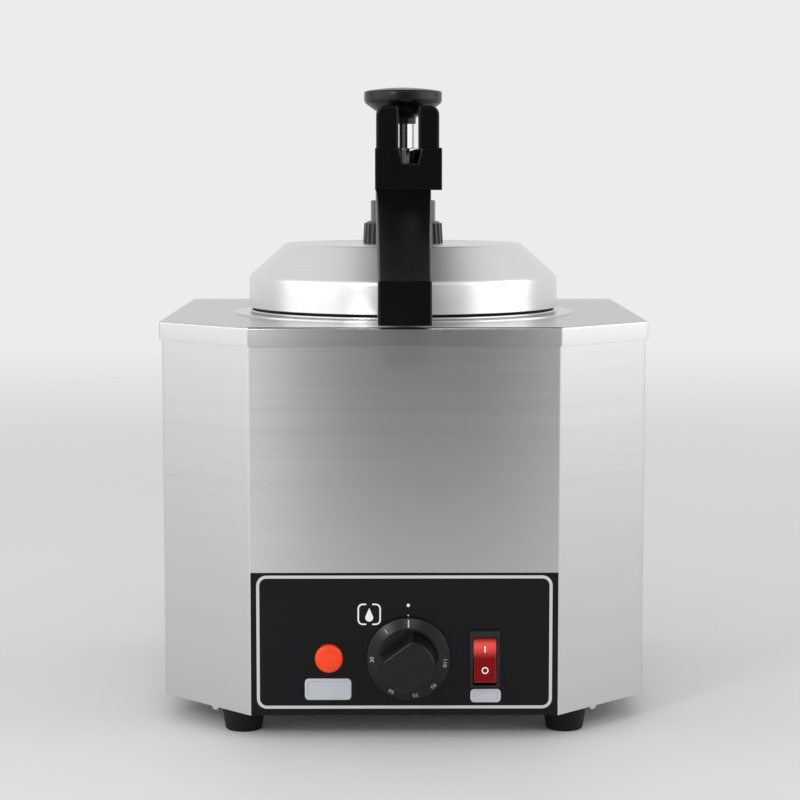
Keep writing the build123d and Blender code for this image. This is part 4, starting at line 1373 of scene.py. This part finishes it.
# %% Spin the lid
lid_sheet = 0.8 * mm
lid_radius, lid_top_radius, lid_hole = lid_high.x, 63.7 * mm, 17.6 * mm
lid_shoulder_z = lid_low.z + 16.2 * mm
lid_turn = lid_sheet * 0.62
turned_piece([
    (lid_radius - lid_sheet, lid_low.z, 0.3 * mm), (lid_radius, lid_low.z, 0.3 * mm),
    (lid_radius, lid_shoulder_z, 1.4 * mm), (lid_top_radius, lid_high.z, 1.1 * mm),
    (lid_hole, lid_high.z), (lid_hole, lid_high.z - lid_sheet),
    (lid_top_radius - lid_turn * 0.55, lid_high.z - lid_sheet, 0.9 * mm),
    (lid_radius - lid_sheet, lid_shoulder_z - lid_turn * 0.55, 1.2 * mm),
], "spun_lid", "lid_and_pump", "spun_lid", "lid_shell", steps=180, corner_steps=6)

# %% The lid's gasket
seal_low, seal_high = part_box("lid_gasket")
web_out = lid_radius - lid_sheet - 0.2 * mm
web_in = web_out - 3.4 * mm
seal_radius, seal_step = 81.5 * mm, lid_low.z - 0.02 * mm
turned_piece([
    (web_in, seal_low.z, 0.3 * mm), (seal_radius, seal_low.z, 0.5 * mm),
    (seal_radius, seal_step, 0.3 * mm), (web_out, seal_step),
    (web_out, seal_high.z, 0.8 * mm), (web_in, seal_high.z, 0.8 * mm),
], "rubber_gasket", "lid_and_pump", "black_rubber", "lid_gasket", steps=144)

# %% [markdown]
# ## The collar nut
#
# The nut that clamps the pump to the lid has thirty upright ribs. Its outline is spun with
# four steps to a rib. Two of every four outer faces are pulled outwards, which leaves
# grooves of the right depth without drawing a single rib.

# %% Mould the collar nut
rib_count = 30
groove_depth = 0.9 * mm
nut_hole = 17.5 * mm


def make_collar_nut():
    low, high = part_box("collar_nut")
    bm = bmesh.new()
    base_radius = (high.x - low.x) / 2
    inner = base_radius - groove_depth
    top_inner = inner - 0.6 * mm
    spun(bm, [
        (nut_hole, low.z), (inner, low.z), (top_inner, high.z - 1.0 * mm),
        (top_inner - 1.0 * mm, high.z), (nut_hole, high.z, 0.3 * mm),
    ], steps=rib_count * 4)
    middle = low.z + (high.z - low.z) / 2
    ribs = []
    for face in bm.faces:
        centre = face.calc_center_median()
        radius = math.hypot(centre.x, centre.y - axis_y)
        step = int((math.atan2(centre.y - axis_y, centre.x) % math.tau) / math.tau * rib_count * 4)
        if radius > top_inner - 0.1 * mm and abs(
            centre.z - middle,
        ) < 2.0 * mm and step % 4 in (0, 1):
            ribs.append(face)
    made = bmesh.ops.extrude_face_region(bm, geom=ribs)["geom"]
    for vert in verts_in(made):
        out = Vector((vert.co.x, vert.co.y - axis_y, 0))
        vert.co += out.normalized() * groove_depth
    face_outwards(bm)
    finish_piece(bm, "ribbed_nut", "lid_and_pump", "grey_nylon", ["collar_nut"], edge=0.22 * mm)


make_collar_nut()

# %% [markdown]
# ## The pump's column, rod and bushing
#
# These are plain turned pieces, but they are seen close, between the ears of the head. The
# rod is chrome and mirrors everything round it, so its surface has to be truly round.

# %% Turn the column, the rod and its bush
column_radius = (column_high.x - column_low.x) / 2
bore, neck, rod_way = column_radius - 2.0 * mm, 14.0 * mm, 8.0 * mm
neck_top = column_high.z
shoulder = neck_top - 4.0 * mm - 5.7 * mm
cap = shoulder - 2.0 * mm
turned_piece([
    (bore, column_low.z), (column_radius, column_low.z, 0.3 * mm),
    (column_radius, shoulder, 0.5 * mm), (neck, shoulder), (neck, neck_top),
    (rod_way, neck_top), (rod_way, cap), (bore, cap),
], "pump_tube", "lid_and_pump", "dark_column", "pump_column")
rod_low, rod_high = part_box("plunger_rod")
rod_radius = (rod_high.x - rod_low.x) / 2
turned_piece([
    (0, rod_low.z), (rod_radius, rod_low.z, 0.4 * mm), (rod_radius, rod_high.z, 0.4 * mm),
    (0, rod_high.z),
], "chrome_rod", "plunger", "chrome_trim", "plunger_rod", steps=64, closed=False)
bush_low, bush_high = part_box("rod_gland")
bush_radius, bush_bore = (bush_high.x - bush_low.x) / 2, 6.08 * mm
turned_piece([
    (bush_bore, bush_low.z), (bush_radius, bush_low.z), (bush_radius, bush_high.z, 0.7 * mm),
    (bush_bore, bush_high.z, 0.4 * mm),
], "rod_bush", "lid_and_pump", "chrome_trim", "rod_gland", steps=64)

# %% [markdown]
# ## The plunger's knob
#
# The palm of a hand pushes this. It is a wide dish on a short neck: its underside flares out
# like a trumpet, its rim is a narrow band and its top is a very low dome.

# %% Turn the plunger knob
palm_low, palm_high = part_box("plunger_knob")
palm_radius, stem_radius = (palm_high.x - palm_low.x) / 2, 6.9 * mm
bowl, palm_rim, crown = 7.9 * mm, 5.9 * mm, 2.0 * mm
bowl_steps, crown_steps = 12, 8
bowl_z = palm_low.z + 3.6 * mm
points = [
    (0, palm_low.z), (stem_radius, palm_low.z, 0.5 * mm), (stem_radius, bowl_z, 1.0 * mm),
]
for step in range(1, bowl_steps):
    share = step / bowl_steps
    flare = (palm_radius - stem_radius) * share ** 0.7
    points.append((stem_radius + flare, bowl_z + bowl * share))
points.append((palm_radius, bowl_z + bowl, 1.6 * mm))
points.append((palm_radius, bowl_z + bowl + palm_rim, 1.0 * mm))
for step in range(1, crown_steps + 1):
    share = 1 - step / crown_steps
    points.append((palm_radius * share, palm_high.z - crown * share ** 2))
turned_piece(
    points, "palm_knob", "plunger", "black_knob", "plunger_knob", steps=128, closed=False,
)

# %% [markdown]
# ## The pump's head
#
# The head is a block with a notch in front, through which the rod shows, and two ears that
# keep fingers off the rod. The notch is in the outline that is pushed back first. The full
# block behind it starts from the same corners, so the two are one shell.

# %% Mould the head
head_low, head_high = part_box("pump_head")
head_top = head_high.z - 22.1 * mm
head_back = head_high.y
notch = (-2.6 * mm, 9.8 * mm, 8.4 * mm, 2.2 * mm)
ear_depth = 8.0 * mm
left_ear, right_ear = (-14.4 * mm, -2.6 * mm), (7.9 * mm, 19.0 * mm)
ear_round, ear_inner_round = 4.9 * mm, 1.8 * mm


def make_head_block():
    left, right, depth, draw = notch
    x0, x1, z0, z1, y = head_low.x, head_high.x, head_low.z, head_top, head_low.y
    bm = bmesh.new()
    outline(bm, [
        (x0, y, z0), (x1, y, z0), (x1, y, z1), (right, y, z1), (right - draw, y, z1 - depth),
        (left + draw, y, z1 - depth), (left, y, z1), (x0, y, z1),
    ])
    front = face_of(bm)
    back = push(bm, front, (0, axis_y - y, 0))
    at_axis = {(round(v.co.x, 6), round(v.co.z, 6)): v for v in back[0].verts}

    def corner(x, z):
        return at_axis[(round(x, 6), round(z, 6))]

    bmesh.ops.delete(bm, geom=back, context="FACES_ONLY")
    bm.faces.new(
        [corner(left, z1), corner(left + draw, z1 - depth), corner(right - draw, z1 - depth), corner(right, z1)],
    )
    full = bm.faces.new([
        corner(x0, z0), corner(x1, z0), corner(x1, z1), corner(right, z1), corner(left, z1),
        corner(x0, z1),
    ])
    push(bm, [full], (0, head_back - axis_y, 0))
    face_outwards(bm)
    uprights = edges_at(bm, lambda p: p.y > head_back - hair and z0 + hair < p.z < z1 - hair, 60)
    round_edges(bm, uprights, 9.0 * mm, 8)
    outer = edges_at(bm, lambda p: p.z > z0 + hair, 40)
    round_edges(bm, outer, 0.9 * mm, 3)
    return bm


def make_ear(bm, x0, x1, outer_side):
    ear = bmesh.new()
    y0, y1 = head_low.y, head_low.y + ear_depth
    z0, z1 = head_top - 0.5 * mm, head_high.z
    rounds = (ear_round, ear_inner_round)
    left, right = rounds if outer_side < 0 else rounds[::-1]
    outline(ear, [(x0, y0, z0), (x1, y0, z0), (x1, y0, z1, right), (x0, y0, z1, left)], steps=6)
    push(ear, face_of(ear), (0, y1 - y0, 0))
    face_outwards(ear)
    front = edges_at(ear, lambda p: p.y < y0 + hair and p.z > z0 + hair, 60)
    round_edges(ear, front, 1.5 * mm, 5)
    back = edges_at(ear, lambda p: p.y > y1 - hair and p.z > z0 + hair, 60)
    round_edges(ear, back, 0.8 * mm, 3)
    join(bm, ear)


def make_head():
    bm = bmesh.new()
    join(bm, make_head_block())
    make_ear(bm, *left_ear, -1)
    make_ear(bm, *right_ear, 1)
    finish_piece(bm, "moulded_head", "lid_and_pump", "black_gloss", ["pump_head"], edge=0.1 * mm)


make_head()

# %% [markdown]
# ## The spout
#
# The spout leaves the head, slopes down over the lid and ends in a square nozzle over the
# front of the deck. Its side outline is pushed to the root's width, and the front end is
# then drawn in. The long edges get a soft roll, and the nozzle's round bore is cut into its
# underside.

# %% Mould the spout
spout_low, spout_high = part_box("spout")
spout_tip_half, arm_thickness = 12.8 * mm, 15.2 * mm
nozzle_height, nozzle_length = 21.2 * mm, 24.0 * mm
outlet_radius, outlet_depth = 6.0 * mm, 14.0 * mm


def make_spout():
    root_half = (spout_high.x - spout_low.x) / 2
    front, root = spout_low.y, spout_high.y
    knee = head_low.y
    bottom, top = spout_low.z, spout_high.z
    nozzle_top, heel = bottom + nozzle_height, front + nozzle_length
    fall = (top - nozzle_top) / (knee - front)

    def upper(y):
        return top if y > knee else top - (knee - y) * fall

    bm = bmesh.new()
    outline(bm, [
        (-root_half, root, top), (-root_half, knee, top), (-root_half, front, nozzle_top),
        (-root_half, front, bottom), (-root_half, heel, bottom),
        (-root_half, heel, upper(heel) - arm_thickness),
        (-root_half, root, top + (root - knee) * fall - arm_thickness),
    ])
    push(bm, face_of(bm), (2 * root_half, 0, 0))
    face_outwards(bm)
    for vert in bm.verts:
        share = min(1.0, max(0.0, (knee - vert.co.y) / (knee - front)))
        narrow = 1 + share * (spout_tip_half / root_half - 1)
        bmesh.ops.scale(bm, vec=(narrow, 1, 1), verts=[vert])
    under = next(f for f in bm.faces if f.calc_center_median().z < bottom + hair)
    rim = under.edges[:]
    bmesh.ops.delete(bm, geom=[under], context="FACES_ONLY")
    place = Matrix.Translation((0, front + nozzle_length / 2, bottom))
    ring = round_hole(bm, outlet_radius, 48, place)
    fill(bm, rim + ring)
    made = bmesh.ops.extrude_edge_only(bm, edges=ring)["geom"]
    move(bm, verts_in(made), (0, 0, outlet_depth))
    bmesh.ops.contextual_create(bm, geom=[e for e in bm.edges if len(e.link_faces) == 1])
    face_outwards(bm)

    def on_the_arm(p):
        return abs(p.x) > 9 * mm and p.y < knee + hair and p.z > bottom + hair

    round_edges(bm, edges_at(bm, on_the_arm, 40), 1.4 * mm, 4)
    finish_piece(bm, "moulded_spout", "lid_and_pump", "black_gloss", ["spout"], edge=0.5 * mm)


make_spout()

# %% [markdown]
# ## The cable gland
#
# The lead enters through a black bush at the back. Only its flange shows from outside, with
# a soft edge and the dark bore in its middle.

# %% Turn the cable gland
def make_gland():
    low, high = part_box("cable_gland")
    length = high.y - low.y
    flange, flange_depth, bore = (high.x - low.x) / 2, 2.0 * mm, 4.2 * mm
    bm, turned = bmesh.new(), bmesh.new()
    spun(turned, [
        (bore, 0, 0.5 * mm), (flange, 0, 0.8 * mm), (flange, flange_depth),
        (gland_hole, flange_depth), (gland_hole, length, 0.4 * mm), (bore, length),
    ], y=0.0, steps=64)
    join(bm, turned, laid_forward(gland_x, gland_z, high.y))
    finish_piece(bm, "gland_bush", "housing", "black_moulding", ["cable_gland"])


make_gland()

# %% [markdown]
# ## Floor, light and world
#
# The floor is plain and pale, and fades out into a pale world, so no horizon cuts the
# picture. Two wide soft lights stand left and right, because a shiny round lid is drawn by
# the bright bands that it mirrors. Two small ones draw the highlights on the dial and on
# the switch; the brightest band on the rocker is a painted highlight in its material, on
# top of the lamp's. Dark cards stand behind the camera and hang over the lid, as they do in
# a real studio. They give the flat front its middle grey and the lid its dark streak by the
# spout. The edges of the cards fade out, so the greys run softly too.

# %% Lay the floor
def make_floor():
    bm = bmesh.new()
    bmesh.ops.create_circle(bm, cap_ends=True, segments=96, radius=3.0)
    mesh = bpy.data.meshes.new("floor")
    bm.to_mesh(mesh)
    bm.free()
    floor = bpy.data.objects.new("floor", mesh)
    scene.collection.objects.link(floor)
    material, tree, shader = start_material("floor")
    shader.inputs["Base Color"].default_value = (0.66, 0.655, 0.65, 1)
    shader.inputs["Roughness"].default_value = 0.6
    place = add(tree, "ShaderNodeTexCoord").outputs["Object"]
    away = add(tree, "ShaderNodeVectorMath", {0: place}, operation="LENGTH").outputs["Value"]
    fade = eased(tree, away, 0.6, 2.6)
    clear = add(tree, "ShaderNodeBsdfTransparent")
    mix = add(tree, "ShaderNodeMixShader", {0: fade, 1: shader.outputs[0], 2: clear.outputs[0]})
    tree.links.new(mix.outputs[0], tree.nodes["Material Output"].inputs["Surface"])
    mesh.materials.append(material)


make_floor()
print("floor laid")

# %% Light the set
def soft_light(name, place, target, width, height, power):
    data = bpy.data.lights.new(name, "AREA")
    data.shape = "RECTANGLE"
    data.size = width
    data.size_y = height
    data.energy = power
    light = bpy.data.objects.new(name, data)
    light.location = place
    light.rotation_euler = (Vector(target) - Vector(place)).to_track_quat("-Z", "Y").to_euler()
    light.visible_camera = False
    scene.collection.objects.link(light)


soft_light("left_bank", (-1.62, -0.52, 0.75), (0, 0, 0.2), 1.8, 1.4, 7.6)
soft_light("right_bank", (1.66, -0.35, 0.75), (0, 0, 0.2), 1.9, 1.4, 10.2)
soft_light("knob_light", (-0.75, -1.2, 0.80), (0, -0.1, 0.05), 0.3, 0.3, 4.6)
# This lamp lights the switch; the bright band on the rocker is a painted highlight in its material.
soft_light("switch_light", (0.10, -1.4, 0.98), (0, -0.1, 0.05), 0.6, 0.12, 1.5)

# %% Hang the dark cards
def dark_card(name, place, half_u, half_v, fade_u, fade_v, shade):
    """A card that only mirrors see, whose edges fade over a share of its width and height."""
    bm = bmesh.new()
    bm.loops.layers.uv.new("card")
    matrix = place @ Matrix.Diagonal((half_u, half_v, 1, 1))
    bmesh.ops.create_grid(bm, x_segments=1, y_segments=1, size=1.0, matrix=matrix, calc_uvs=True)
    mesh = bpy.data.meshes.new(name)
    bm.to_mesh(mesh)
    bm.free()
    card = bpy.data.objects.new(name, mesh)
    scene.collection.objects.link(card)
    material, tree, _ = start_material(name)
    uv = add(
        tree, "ShaderNodeSeparateXYZ", {0: add(tree, "ShaderNodeUVMap", uv_map="card").outputs[0]},
    )
    masks = []
    for axis, fade in ((0, fade_u), (1, fade_v)):
        from_middle = maths(tree, "ABSOLUTE", maths(tree, "SUBTRACT", uv.outputs[axis], 0.5))
        masks.append(eased(tree, maths(tree, "SUBTRACT", 0.5, from_middle), 0.0, fade))
    tone_node = add(tree, "ShaderNodeEmission", {0: (shade, shade, shade * 1.02, 1), 1: 1.0})
    clear = add(tree, "ShaderNodeBsdfTransparent")
    mask = maths(tree, "MULTIPLY", masks[0], masks[1])
    mix = add(tree, "ShaderNodeMixShader", {0: mask, 1: clear.outputs[0], 2: tone_node.outputs[0]})
    tree.links.new(mix.outputs[0], tree.nodes["Material Output"].inputs["Surface"])
    mesh.materials.append(material)
    card.visible_camera = card.visible_shadow = card.visible_diffuse = False


upright = Matrix.Rotation(math.radians(90), 4, "X")
dark_card(
    "card_behind_camera", Matrix.Translation((0.16, -2.4, 0.6)) @ upright, 1.8, 2.0, 0.48, 0.05,
    0.15,
)
dark_card("card_on_floor", Matrix.Translation((0.16, -2.0, 0.004)), 1.8, 1.5, 0.48, 0.30, 0.15)
dark_card("card_overhead", Matrix.Translation((0.08, 0.5, 1.6)), 0.75, 1.7, 0.38, 0.15, 0.10)
print("dark cards set")

# %% Set the world
world = bpy.data.worlds.new("studio")
scene.world = world
world.use_nodes = True
background = world.node_tree.nodes["Background"]
background.inputs["Color"].default_value = (0.84, 0.84, 0.85, 1)
background.inputs["Strength"].default_value = 1.0
print("world:", world.name)
